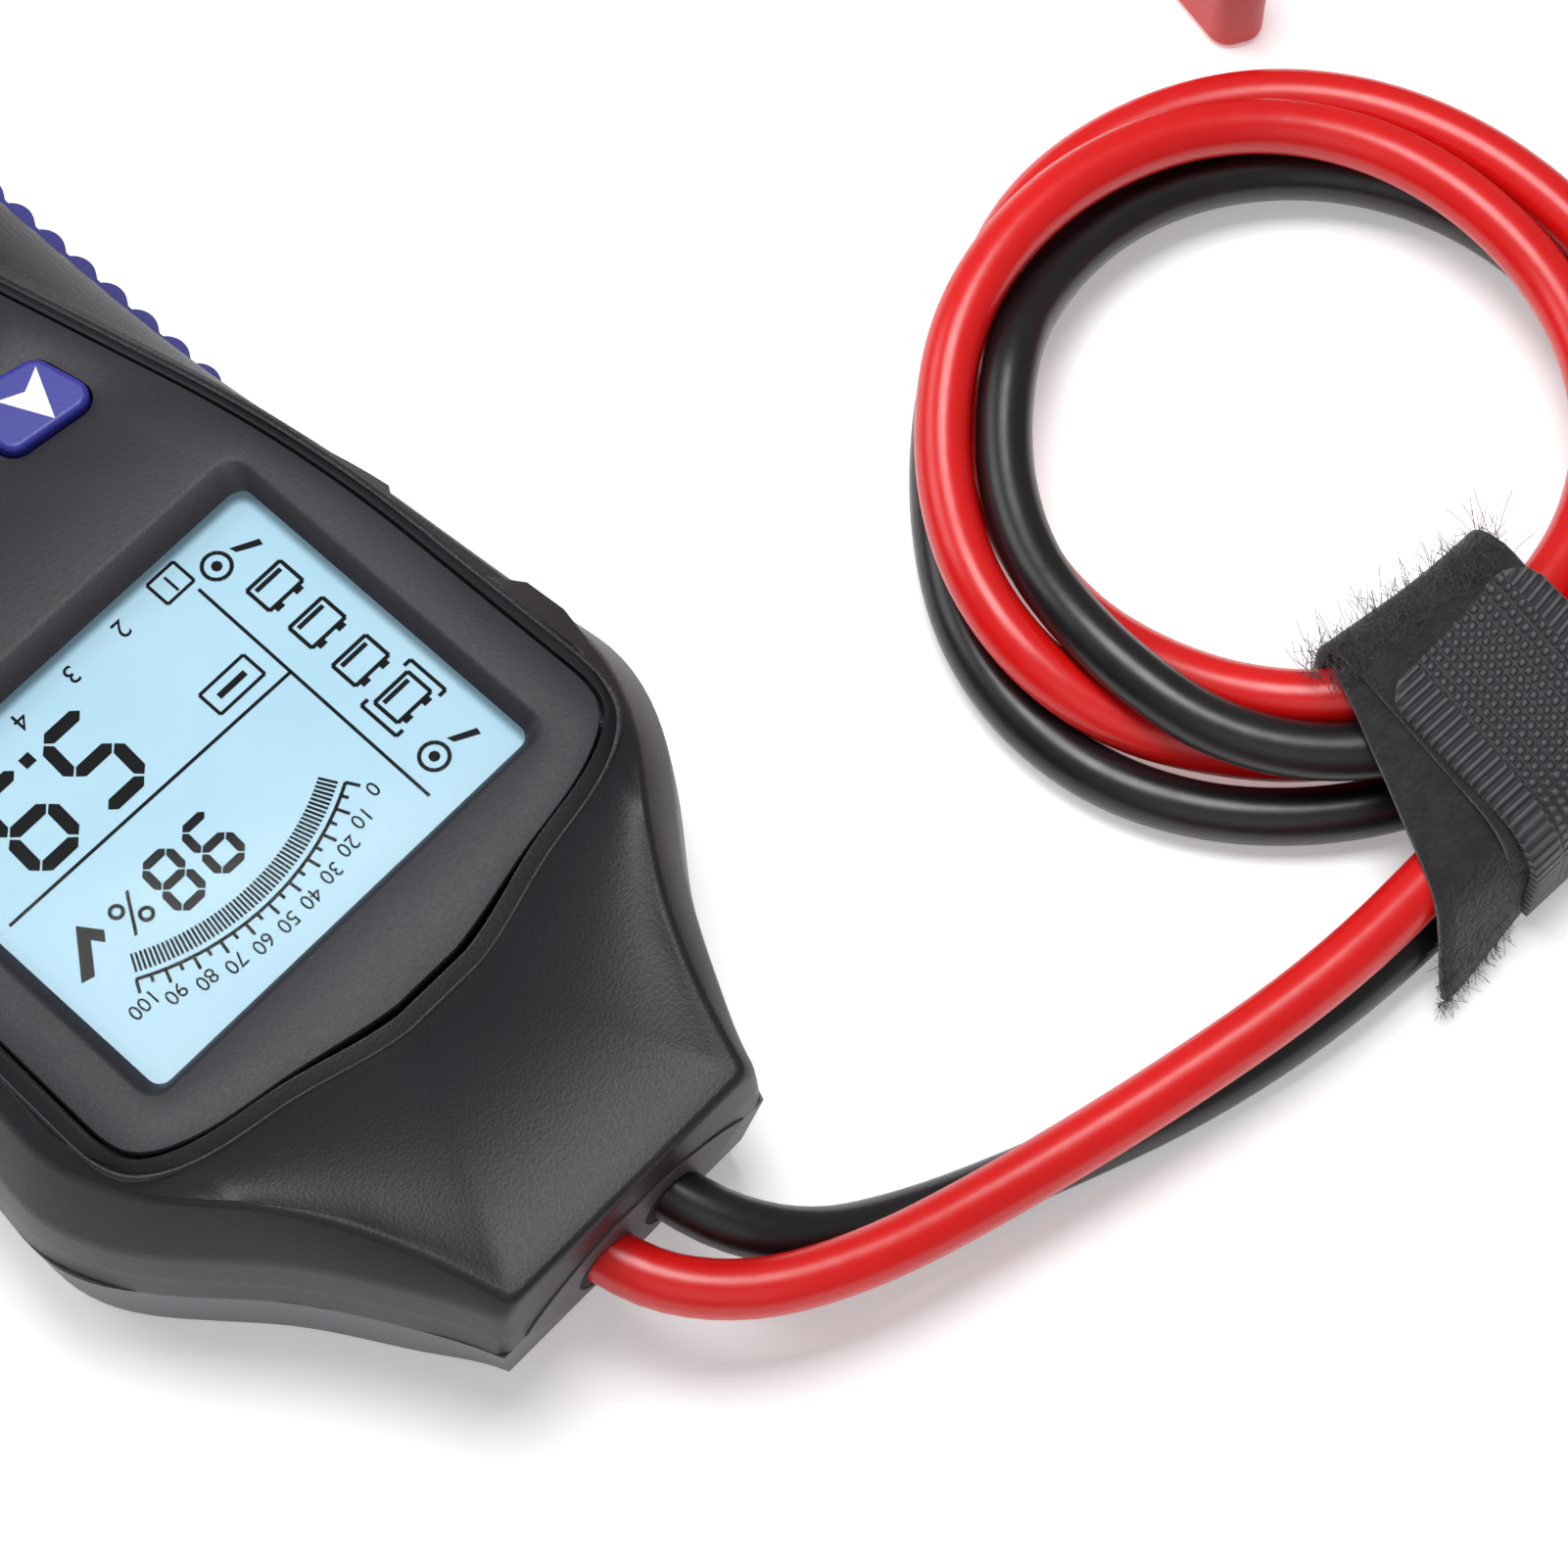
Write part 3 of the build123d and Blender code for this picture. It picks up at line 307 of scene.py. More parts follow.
@dataclass(frozen=True)
class HookTape(Coating):
    """Woven nylon hook tape: ribbed selvedges, and rows of small moulded hooks between them.

    Reads the tape's UVs, which hold millimetres across the tape and along it. Periods are in
    millimetres. Its colour follows the weave's height: painted highlights on the ribs and hooks,
    painted shade between them.
    """

    name: str = "woven_nylon_hook_tape"
    # tone is the painted highlight on the ribs and hooks, and tone_low the painted shade between them.
    tone: str = "#55545a"
    tone_low: str = "#1c1b1f"
    rib: float = 1.15
    hook_across: float = 1.25
    hook_along: float = 1.05
    selvedge: float = 3.4
    width: float = 19.5
    relief: float = 0.4

    def paint(self, tree: Tree, shader: bpy.types.Node) -> None:
        """Wires this finish into its shader.

        Args:
            tree: The material's node tree.
            shader: Its shader.
        """
        place = add_node(tree, "ShaderNodeTexCoord").outputs["UV"]
        turn = math.tau / 20  # one band of Blender's wave at scale 1
        links = {"Vector": place, "Scale": turn / self.rib, "Distortion": 0.3}
        ribs = add_node(tree, "ShaderNodeTexWave", links, bands_direction="Y").outputs["Fac"]
        links = {"Vector": place, "Scale": turn / self.hook_along, "Distortion": 1.4, "Detail Scale": 2.0}
        rows = add_node(tree, "ShaderNodeTexWave", links, bands_direction="Y").outputs["Fac"]
        links = {"Vector": place, "Scale": turn / self.hook_across, "Distortion": 1.2, "Detail Scale": 2.0}
        columns = add_node(tree, "ShaderNodeTexWave", links, bands_direction="X").outputs["Fac"]
        hooks = add_node(tree, "ShaderNodeMath", {0: rows, 1: columns}, operation="MULTIPLY").outputs["Value"]
        across = add_node(tree, "ShaderNodeSeparateXYZ", {"Vector": place}).outputs["X"]
        links = {0: across, 1: self.width / 2}
        from_middle = add_node(tree, "ShaderNodeMath", links, operation="SUBTRACT").outputs["Value"]
        links = {0: from_middle}
        from_middle = add_node(tree, "ShaderNodeMath", links, operation="ABSOLUTE").outputs["Value"]
        links = {0: from_middle, 1: self.width / 2 - self.selvedge}
        edge = add_node(tree, "ShaderNodeMath", links, operation="GREATER_THAN").outputs["Value"]
        links = {0: ribs, 1: 0.62}
        half_ribs = add_node(tree, "ShaderNodeMath", links, operation="MULTIPLY").outputs["Value"]
        links = {"Factor": edge, "A": hooks, "B": half_ribs}
        weave_relief_and_shading = add_node(tree, "ShaderNodeMix", links, data_type="FLOAT").outputs["Result"]
        # The weave's height also sets the colour: painted highlights on its tops and painted shade in its
        # hollows.
        colour = ramp(tree, weave_relief_and_shading, self.tone_low, self.tone)
        tree.links.new(colour, shader.inputs["Base Color"])
        bump_links = {"Height": weave_relief_and_shading, "Distance": mm(self.relief), "Strength": 1.0}
        bump = add_node(tree, "ShaderNodeBump", bump_links)
        tree.links.new(bump.outputs["Normal"], shader.inputs["Normal"])
        shader.inputs["Roughness"].default_value = 0.6
        shader.inputs["Sheen Weight"].default_value = 0.2


def dress(piece: Piece, finish: Coating) -> None:
    """Gives a piece one finish in place of whatever it had.

    Args:
        piece: The piece to finish.
        finish: The finish it is given.
    """
    material = finish.build()
    if piece.data.materials:
        for index in range(len(piece.data.materials)):
            piece.data.materials[index] = material
    else:
        piece.data.materials.append(material)


# ---- Mesh helpers ----
def linked(name: str, data: bpy.types.ID) -> Piece:
    """A new object of some data, linked to the scene.

    Args:
        name: Its name.
        data: The mesh, curve, camera or light.

    Returns:
        The object.
    """
    piece = bpy.data.objects.new(name, data)
    bpy.context.scene.collection.objects.link(piece)
    return piece


def mesh_piece(bm: BMesh, name: str) -> Piece:
    """A bmesh as a named object.

    Args:
        bm: The finished mesh, in place. It is freed here.
        name: Its name.

    Returns:
        The object, linked to the scene.
    """
    mesh = bpy.data.meshes.new(name)
    bm.to_mesh(mesh)
    bm.free()
    return linked(name, mesh)


def thicken(piece: Piece, name: str, thick: float, offset: float = -1) -> None:
    """Gives a skin its thickness.

    Args:
        piece: The skin.
        name: Its name.
        thick: Its thickness.
        offset: Side of the skin it goes to: -1 behind, 0 both.
    """
    solid = piece.modifiers.new(name, "SOLIDIFY")
    solid.thickness = mm(thick)
    solid.offset = offset


def soften(piece: Piece, name: str, width: float, degrees: float) -> None:
    """Rounds a piece's sharper edges.

    Args:
        piece: The piece.
        name: Its name.
        width: Its width.
        degrees: Edges bent further than this are rounded.
    """
    bevel = piece.modifiers.new(name, "BEVEL")
    bevel.width = mm(width)
    bevel.segments = 2
    bevel.angle_limit = math.radians(degrees)


def piece_of(bm: BMesh, name: str, smooth_degrees: float = 32.0) -> Piece:
    """Closes a bmesh into a named object whose edges are sharp past an angle.

    Args:
        bm: The finished mesh, in metres, in place. It is freed here.
        name: The piece's name.
        smooth_degrees: Faces that meet at less than this are shaded as one surface.

    Returns:
        The object, linked to the scene.
    """
    bmesh.ops.remove_doubles(bm, verts=bm.verts, dist=mm(0.002))
    bmesh.ops.recalc_face_normals(bm, faces=bm.faces)
    for face in bm.faces:
        face.smooth = True
    for edge in bm.edges:
        if len(edge.link_faces) == 2:
            edge.smooth = edge.calc_face_angle(0.0) < math.radians(smooth_degrees)
    return mesh_piece(bm, name)


def loop_of(bm: BMesh, points: Sequence[Vector]) -> list[Edge]:
    """A closed ring of edges through points in millimetres."""
    verts = [bm.verts.new(metres(point)) for point in points]
    return [bm.edges.new((verts[i - 1], verts[i])) for i in range(len(verts))]


def bevel_edges(bm: BMesh, edges: Iterable[Edge], width: float, segments: int = 3) -> None:
    """Rounds edges by a width in millimetres.

    Args:
        bm: The mesh.
        edges: The edges to round.
        width: Its width.
        segments: Steps in each rounding.
    """
    chosen = list(edges)
    if chosen:
        bmesh.ops.bevel(
            bm, geom=chosen, offset=mm(width), segments=segments, profile=0.5, affect="EDGES", material=-1
        )


def hermite(points: Sequence[Vector], start: Vector, end: Vector, steps: int) -> list[Vector]:
    """Points along a smooth curve through the given ones.

    Args:
        points: The points to pass through, in order.
        start: Direction at the first. Its length sets how long the curve keeps to it.
        end: Direction at the last, likewise.
        steps: Spans between each two points.

    Returns:
        The curve's points, without its last one.
    """
    lengths = [(b - a).length for a, b in zip(points, points[1:])]
    slopes = [start * start.length] + [Vector((0, 0, 0)) for _ in points[1:-1]] + [end * end.length]
    for _ in range(40):  # settles on slopes that keep the curvature even through every point
        for i in range(1, len(points) - 1):
            a, b = 1 / lengths[i - 1], 1 / lengths[i]
            pull = ((points[i] - points[i - 1]) * a * a + (points[i + 1] - points[i]) * b * b) * 3
            slopes[i] = (pull - slopes[i - 1] * a - slopes[i + 1] * b) / (2 * (a + b))
    curve = []
    for i, length in enumerate(lengths):
        for step in range(steps):
            t = step / steps
            curve.append(
                points[i] * (2 * t**3 - 3 * t**2 + 1)
                + slopes[i] * (length * (t**3 - 2 * t**2 + t))
                + points[i + 1] * (3 * t**2 - 2 * t**3)
                + slopes[i + 1] * (length * (t**3 - t**2))
            )
    return curve


def straight(first: Vector, last: Vector, steps: int) -> list[Vector]:
    """Evenly spaced points from first up to, but not at, last."""
    return [first.lerp(last, i / steps) for i in range(steps)]


def rounded(corners: Sequence[Flat], radius: float, steps: int = 5) -> list[Vector]:
    """Closed outline of straight sides with round corners.

    Args:
        corners: The sharp corners, in order, in millimetres.
        radius: Radius of every corner.
        steps: Spans in each corner's arc.

    Returns:
        The outline's points at height 0.
    """
    points = []
    count = len(corners)
    for i, corner in enumerate(corners):
        here = Vector(corner)
        back = (Vector(corners[i - 1]) - here).normalized()
        ahead = (Vector(corners[(i + 1) % count]) - here).normalized()
        half = back.angle(ahead) / 2
        centre = here + (back + ahead).normalized() * (radius / math.sin(half))
        first = here + back * (radius / math.tan(half)) - centre
        last = here + ahead * (radius / math.tan(half)) - centre
        turn = first.angle_signed(last)
        for step in range(steps + 1):
            arm = first.copy()
            arm.rotate(Matrix.Rotation(-turn * step / steps, 2))
            points.append(Vector((*(centre + arm), 0)))
    return points


def box_corners(x0: float, x1: float, y0: float, y1: float) -> list[Flat]:
    """Corners of a rectangle, anticlockwise."""
    return [(x0, y0), (x1, y0), (x1, y1), (x0, y1)]


def at_height(points: Sequence[Vector], z: float) -> list[Vector]:
    """The same outline at another height."""
    return [Vector((p.x, p.y, z)) for p in points]


# ---- Case ----
class Level(Enum):
    """The outlines that the upper case is drawn through."""

    SIDE = "side"
    RIDGE = "ridge"
    TABLE = "table"


@dataclass(frozen=True)
class Outline:
    """Half plan of the case at one level, from the nose round to the tail, mirrored into a ring."""

    knots: tuple[Flat, ...]
    waist: Flat
    heel: Flat
    toe: Flat
    start: Flat
    end: Flat
    heel_slope: Flat
    corner: float = 0.0
    waist_soft: float = 0.42
    waist_round: bool = True
    heel_steps: int = 24
    corner_steps: int = 4

    def turn(self, sharp: Vector, after: Vector) -> list[Vector]:
        """Points round the nose's corner, from its end face up to, but not at, the side's first point.

        Args:
            sharp: The corner before it is rounded.
            after: The side's first point.

        Returns:
            The points.
        """
        before = sharp - Vector((self.corner, 0, 0))
        steps = [i / self.corner_steps for i in range(self.corner_steps)]
        return [before.lerp(sharp, t).lerp(sharp.lerp(after, t), t) for t in steps]

    def ring(self, inset: float = 0.0) -> list[Vector]:
        """The closed outline, drawn in from its full width.

        Args:
            inset: How far in, in millimetres. A negative inset grows it.

        Returns:
            Points at height 0, with the same count for every level.
        """
        nose_shift = 0.0 if self.corner else inset
        knots = [Vector((x - inset, y, 0)) for x, y in self.knots]
        knots[0].y -= nose_shift
        waist = Vector((self.waist[0] - inset, self.waist[1], 0))
        heel = Vector((self.heel[0] - inset, self.heel[1], 0))
        toe = Vector((0, self.toe[1] + inset, 0))
        sharp = knots[0]
        half = straight(Vector((0, sharp.y, 0)), sharp - Vector((self.corner, 0, 0)), 6)
        if self.corner:
            knots[0] = sharp + Vector((*self.start, 0)).normalized() * self.corner
            half += self.turn(sharp, knots[0])
        else:
            half = straight(Vector((0, sharp.y, 0)), sharp, 6 + self.corner_steps)
        spans = 32 // (len(knots) - 1)
        half += hermite(knots, Vector((*self.start, 0)), Vector((*self.end, 0)), spans)
        soft = self.waist_soft
        first, last = waist.lerp(knots[-1], soft), waist.lerp(heel, soft)
        half += straight(knots[-1], first, 9)
        if self.waist_round:
            half += [first.lerp(waist, i / 12).lerp(waist.lerp(last, i / 12), i / 12) for i in range(12)]
        else:
            half += straight(first, waist, 6) + straight(waist, last, 6)
        half += straight(last, heel, 9)
        half += hermite([heel, toe], Vector((*self.heel_slope, 0)), Vector((-1.2, 0, 0)), self.heel_steps)
        half.append(toe)
        return half + [Vector((-p.x, p.y, 0)) for p in reversed(half[1:-1])]


OUTLINES = {
    Level.SIDE: Outline(
        knots=((18.1, 91.2), (21.8, 83.0), (28.9, 71.3), (37.2, 61.0), (41.0, 48.0)),
        waist=(34.9, 2.0), heel=(34.9, -58.0), toe=(0, -92.0),
        start=(0.35, -1), end=(-0.13, -1), heel_slope=(0, -1.2), corner=1.3,
        waist_round=False,
    ),
    Level.RIDGE: Outline(
        knots=((15.8, 91.2), (19.2, 81.0), (26.0, 69.0), (34.0, 58.6), (37.0, 48.0)),
        waist=(34.3, 12.0), heel=(26.2, -23.0), toe=(0, -66.0),
        start=(0.3, -1), end=(-0.07, -1), heel_slope=(-0.25, -1), corner=1.3,
    ),
    Level.TABLE: Outline(
        knots=((4.0, 64.7), (16.5, 62.1), (27.9, 59.5), (31.6, 56.7), (32.4, 51.8)),
        waist=(31.5, 15.4), heel=(23.0, -19.5), toe=(0, -46.0),
        start=(1, -0.12), end=(-0.02, -1), heel_slope=(-0.24, -1),
    ),
}


@dataclass
class UpperCase:
    """Upper half of the case: side band, slanted facet, rim and the hollow slope towards the leads."""

    seam_z: float = 15.0
    facet_z: float = 24.0
    ridge_z: float = 31.5
    table_z: float = 34.2
    groove: float = 0.5
    groove_floor_z: float = 32.4
    wall: float = 1.8
    nose_drop: float = 5.0
    nose_from_y: float = 68.0
    nose_to_y: float = 91.2
    saddle_rings: int = 8
    hollow_power: float = 2.3

    def ridge_height(self, y: float) -> float:
        """Height of the rim at y: level along the case, and falling towards the leads."""
        t = max(0.0, (y - self.nose_from_y) / (self.nose_to_y - self.nose_from_y))
        return self.ridge_z - self.nose_drop * t

    def saddle(self, ridge: list[Vector], table: list[Vector]) -> list[list[Vector]]:
        """Rings between the rim and the panel's flat, hollowed in front of the panel.

        Args:
            ridge: The rim's ring, at its heights.
            table: The flat's ring, at its height.

        Returns:
            The rings from the rim inwards, without the two given ones.
        """
        rings = []
        for step in range(self.saddle_rings, 0, -1):
            t = step / (self.saddle_rings + 1)
            ring = []
            for low, high in zip(ridge, table):
                front = min(1.0, max(0.0, (low.y - 58.0) / 10.0))
                power = 1 + (self.hollow_power - 1) * front * front * (3 - 2 * front)
                fall = 1 - (1 - t) ** power
                place = high.lerp(low, t)
                ring.append(Vector((place.x, place.y, high.z + (low.z - high.z) * fall)))
            rings.append(ring)
        return rings

    def build(self) -> Piece:
        """Models the shell as a skin through its rings, with rounded creases and a wall's thickness.

        Returns:
            The piece.
        """
        bm = bmesh.new()
        side = OUTLINES[Level.SIDE]
        ridge = [Vector((p.x, p.y, self.ridge_height(p.y))) for p in OUTLINES[Level.RIDGE].ring()]
        table = at_height(OUTLINES[Level.TABLE].ring(-self.groove), self.table_z)
        half_way = (self.seam_z + self.facet_z) / 2
        rings = [at_height(side.ring(), self.seam_z), at_height(side.ring(0.35), half_way)]
        rings += [at_height(side.ring(0.8), self.facet_z), ridge]
        rings += self.saddle(ridge, table)
        rings += [table, at_height(OUTLINES[Level.TABLE].ring(-self.groove), self.groove_floor_z)]
        loops = [loop_of(bm, ring) for ring in rings]
        for outer, inner in zip(loops, loops[1:]):
            bmesh.ops.bridge_loops(bm, edges=outer + inner)
        bmesh.ops.recalc_face_normals(bm, faces=bm.faces)
        bevel_edges(bm, loops[2] + loops[3], 0.8)
        bevel_edges(bm, [edge for edge in loops[-2] if edge.is_valid], 0.25, 2)
        piece = piece_of(bm, "upper_case", 40)
        thicken(piece, "wall", self.wall)
        return piece

    def dress(self, piece: Piece) -> None:
        """Finishes the shell and ties it to the frame.

        Args:
            piece: The piece that build made.
        """
        dress(piece, CASE_ABS)
        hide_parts("top_shell")
        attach(piece, "root")


@dataclass
class FacePanel:
    """Face panel with the display's window, whose key side slopes widest, and the keys' openings."""

    top_z: float = 34.8
    thick: float = 1.5
    sloped_to_z: float = 33.5
    window: tuple[float, float, float, float] = (-25.0, 25.0, 14.0, 54.0)
    slope: tuple[float, float, float, float] = (1.6, 1.6, 2.9, 0.9)
    key_gap: float = 0.35
    wing: tuple[float, float] = (16.6, -7.2)
    enter: tuple[float, float, float] = (-11.0, 13.0, 12.0)
    back: tuple[float, float, float] = (-27.0, 15.0, 8.0)

    def wing_corners(self, side: int) -> list[Flat]:
        """Corners of one wing key's opening, anticlockwise for either side.

        Args:
            side: 1 for the right key, -1 for the left.

        Returns:
            The corners.
        """
        x, y, gap = self.wing[0], self.wing[1], self.key_gap
        corners = [
            (side * (x + 5.7 + gap), y + 4.9 + gap),
            (side * (x - 5.6 - gap), y + 3.4 + gap),
            (side * (x - 5.6 - gap), y - 5.5 - gap),
            (side * (x + 3.9 + gap), y - 3.1 - gap),
        ]
        return corners if side > 0 else corners[::-1]

    def pad_corners(self, y: float, width: float, depth: float) -> list[Flat]:
        """Corners of one middle key's opening."""
        x, half = width / 2 + self.key_gap, depth / 2 + self.key_gap
        return box_corners(-x, x, y - half, y + half)

    def build(self) -> Piece:
        """Models the panel as a pierced plate with soft edges.

        Returns:
            The piece.
        """
        bm = bmesh.new()
        x0, x1, y0, y1 = self.window
        left, right, low, high = self.slope
        upper = rounded(box_corners(x0 - left, x1 + right, y0 - low, y1 + high), 2.2)
        lower = rounded(box_corners(x0, x1, y0, y1), 1.4)
        edges = loop_of(bm, at_height(OUTLINES[Level.TABLE].ring(0.1), self.top_z))
        window_top = loop_of(bm, at_height(upper, self.top_z))
        edges += window_top
        for side in (-1, 1):
            edges += loop_of(bm, at_height(rounded(self.wing_corners(side), 2.3), self.top_z))
        for pad in (self.enter, self.back):
            edges += loop_of(bm, at_height(rounded(self.pad_corners(*pad), 3.3), self.top_z))
        bmesh.ops.triangle_fill(bm, use_beauty=True, use_dissolve=False, edges=edges, normal=(0, 0, 1))
        window_low = loop_of(bm, at_height(lower, self.sloped_to_z))
        bmesh.ops.bridge_loops(bm, edges=window_top + window_low)
        bmesh.ops.recalc_face_normals(bm, faces=bm.faces)
        if sum(face.normal.z * face.calc_area() for face in bm.faces) < 0:
            bmesh.ops.reverse_faces(bm, faces=bm.faces)
        bevel_edges(bm, window_top, 0.35, 2)
        piece = piece_of(bm, "face_panel", 30)
        thicken(piece, "thickness", self.thick)
        soften(piece, "soft_edges", 0.3, 50)
        return piece

    def dress(self, piece: Piece) -> None:
        """Finishes the panel and ties it to the frame.

        Args:
            piece: The piece that build made.
        """
        dress(piece, PANEL_ABS)
        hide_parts("front_panel")
        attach(piece, "root")


@dataclass
class EndPlate:
    """Lens-shaped plate, flush in the case's end face, that closes it round both leads."""

    half_wide: float = 15.0
    half_high: float = 5.6
    middle_z: float = 15.5
    face_y: float = 91.38
    back_y: float = 90.2
    groove: float = 0.35
    hole_radius: float = 3.3
    holes: tuple[Flat, ...] = ((-4.55, 14.4), (4.55, 14.4))
    steps: int = 48

    def lens(self, grow: float, y: float) -> list[Vector]:
        """Lens outline, drawn outwards by grow, at a place along the case.

        Args:
            grow: How far out it is drawn.
            y: Its place along the case.

        Returns:
            The outline's points.
        """
        points = []
        for i in range(self.steps):
            angle = math.tau * i / self.steps
            across = math.cos(angle) * (self.half_wide + grow)
            high = math.copysign(abs(math.sin(angle)) ** 1.6, math.sin(angle)) * (self.half_high + grow)
            points.append(Vector((across, y, self.middle_z + high)))
        return points

    def plate(self, name: str, grow: float, y: float, holes: Sequence[Flat]) -> Piece:
        """Models a plate of the lens's shape, pierced by round holes, with an eased rim.

        Args:
            name: Its name.
            grow: How far out it is drawn.
            y: Its place along the case.
            holes: Middles of the holes, across and up.

        Returns:
            The plate.
        """
        bm = bmesh.new()
        edges = loop_of(bm, self.lens(grow, y))
        for x, z in holes:
            ring = [math.tau * i / 28 for i in range(28)]
            r = self.hole_radius
            edges += loop_of(bm, [Vector((x + r * math.cos(a), y, z + r * math.sin(a))) for a in ring])
        bmesh.ops.triangle_fill(bm, use_beauty=True, edges=edges, normal=(0, 1, 0))
        for face in bm.faces:
            face.normal_update()
            if face.normal.y < 0:
                face.normal_flip()
        grown = bmesh.ops.extrude_face_region(bm, geom=bm.faces[:], use_keep_orig=True)
        sunk = [v for v in grown["geom"] if isinstance(v, bmesh.types.BMVert)]
        bmesh.ops.translate(bm, verts=sunk, vec=(0, mm(self.back_y - y), 0))
        piece = piece_of(bm, name, 40)
        soften(piece, "eased_rim", 0.16, 60)
        return piece

    def build(self) -> tuple[Piece, Piece]:
        """Models the plate and, round it, a dark ring of painted shade in the groove.

        Returns:
            The plate, then the ring of painted groove shade.
        """
        face = self.plate("end_plate", 0.0, self.face_y, self.holes)
        # A dark ring just behind the plate's face, which shows in the groove as painted shade.
        groove_shade = self.plate("end_plate_groove_shade", self.groove, self.face_y - 0.14, ())
        return face, groove_shade

    def dress(self, face: Piece, groove_shade: Piece) -> None:
        """Finishes both pieces and ties them to the frame.

        Args:
            face: The plate.
            groove_shade: The dark ring of painted shade in the groove round it.
        """
        dress(face, PLATE_ABS)
        dress(groove_shade, GROOVE_SHADE_AND_STRAP_BLACK)
        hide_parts("lead_plate")
        for piece in (face, groove_shade):
            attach(piece, "root")


# ---- Display ----
SEGMENTS_LIT = (
    "abcdef", "bc", "abged", "abgcd", "fgbc", "afgcd", "afgedc", "abc", "abcdefg", "abcdfg",
)


def around(centre: Flat, radius: float, angle: float) -> Flat:
    """Point at an angle in radians on a circle."""
    return (centre[0] + radius * math.cos(angle), centre[1] + radius * math.sin(angle))


@dataclass
class Display:
    """Lit cell under the lens, and the darkened segments, bars and marks that it shows."""

    centre_y: float = 34.0
    cell: tuple[float, float] = (54.4, 43.4)
    cell_low_z: float = 30.4
    cell_z: float = 31.7
    ink: float = 0.05
    dial_centre: Flat = (4.3, 18.3)
    dial_radius: float = 29.0
    dial_from: float = 119.0
    dial_to: float = 61.0
    bars: int = 60

    def build_cell(self) -> Piece:
        """Models the lit cell as a plate with eased edges.

        Returns:
            The cell.
        """
        bm = bmesh.new()
        half_w, half_h = self.cell[0] / 2, self.cell[1] / 2
        corners = box_corners(-half_w, half_w, self.centre_y - half_h, self.centre_y + half_h)
        edges = loop_of(bm, at_height(rounded(corners, 1.0), self.cell_low_z))
        bmesh.ops.triangle_fill(bm, use_beauty=True, edges=edges, normal=(0, 0, -1))
        grown = bmesh.ops.extrude_face_region(bm, geom=bm.faces[:], use_keep_orig=True)
        lifted = [v for v in grown["geom"] if isinstance(v, bmesh.types.BMVert)]
        bmesh.ops.translate(bm, verts=lifted, vec=(0, 0, mm(self.cell_z - self.cell_low_z)))
        return piece_of(bm, "display_cell")

    def shape(self, bm: BMesh, corners: Sequence[Flat]) -> None:
        """One flat darkened shape through corners in millimetres."""
        z = self.cell_z + self.ink
        bm.faces.new([bm.verts.new(metres((x, y, z))) for x, y in corners])

    def bar(self, bm: BMesh, first: Flat, last: Flat, width: float, pointed: float = 0.0) -> None:
        """A straight stroke, with ends that come to a point when pointed is over 0.

        Args:
            bm: The mesh that it is added to.
            first: Where it starts.
            last: Where it ends.
            width: Its width.
            pointed: Length of each end's point, or 0 for square ends.
        """
        a, b = Vector(first), Vector(last)
        way = (b - a).normalized()
        side = Vector((-way.y, way.x)) * (width / 2)
        tip = way * pointed
        corners = [a, a + tip - side, b - tip - side, b, b - tip + side, a + tip + side]
        if not pointed:
            corners = [a - side, b - side, b + side, a + side]
        self.shape(bm, [tuple(c) for c in corners])

    def outline_box(self, bm: BMesh, centre: Flat, size: Flat, width: float) -> None:
        """Four strokes round a rectangle.

        Args:
            bm: The mesh that it is added to.
            centre: Its middle.
            size: Its width and height.
            width: Its width.
        """
        x, y = centre
        w, h = size[0] / 2, size[1] / 2
        for sign in (-1, 1):
            self.bar(bm, (x - w, y + sign * h), (x + w, y + sign * h), width)
            self.bar(bm, (x + sign * w, y - h), (x + sign * w, y + h), width)

    def digit(self, bm: BMesh, figure: int, centre: Flat, high: float, stroke: float) -> None:
        """A seven-segment figure that leans a little, as such displays do.

        Args:
            bm: The mesh that it is added to.
            figure: The figure, 0 to 9.
            centre: Its middle.
            high: Its height.
            stroke: Width of a segment.
        """
        lit = SEGMENTS_LIT[figure]
        w, h, gap = high * 0.27, high / 2, stroke * 0.12
        ends = {
            "a": ((-w, h), (w, h)), "b": ((w, h), (w, 0)), "c": ((w, 0), (w, -h)), "d": ((-w, -h), (w, -h)),
            "e": ((-w, 0), (-w, -h)), "f": ((-w, h), (-w, 0)), "g": ((-w, 0), (w, 0)),
        }
        for name in lit:
            a, b = (Vector(end) for end in ends[name])
            way = (b - a).normalized() * gap
            pair = [(p.x + p.y * 0.06 + centre[0], p.y + centre[1]) for p in (a + way, b - way)]
            self.bar(bm, pair[0], pair[1], stroke, stroke / 2)

    def on_dial(self, share: float, radius: float) -> Flat:
        """Point of the dial at a share of its sweep and a radius."""
        angle = math.radians(self.dial_from + (self.dial_to - self.dial_from) * share)
        return around(self.dial_centre, radius, angle)

    def dial(self, bm: BMesh) -> None:
        """Arc with a comb of bars inside it and ticks outside.

        Args:
            bm: The mesh that it is added to.
        """
        r = self.dial_radius
        for i in range(self.bars):
            share, after = i / self.bars, (i + 1) / self.bars
            self.bar(bm, self.on_dial(share, r), self.on_dial(after, r), 0.36)
            middle = share + 0.5 / self.bars
            self.bar(bm, self.on_dial(middle, r - 2.7), self.on_dial(middle, r - 0.7), 0.26)
        for i in range(21):
            reach = 1.5 if i % 2 == 0 else 0.8
            self.bar(bm, self.on_dial(i / 20, r), self.on_dial(i / 20, r + reach), 0.34)

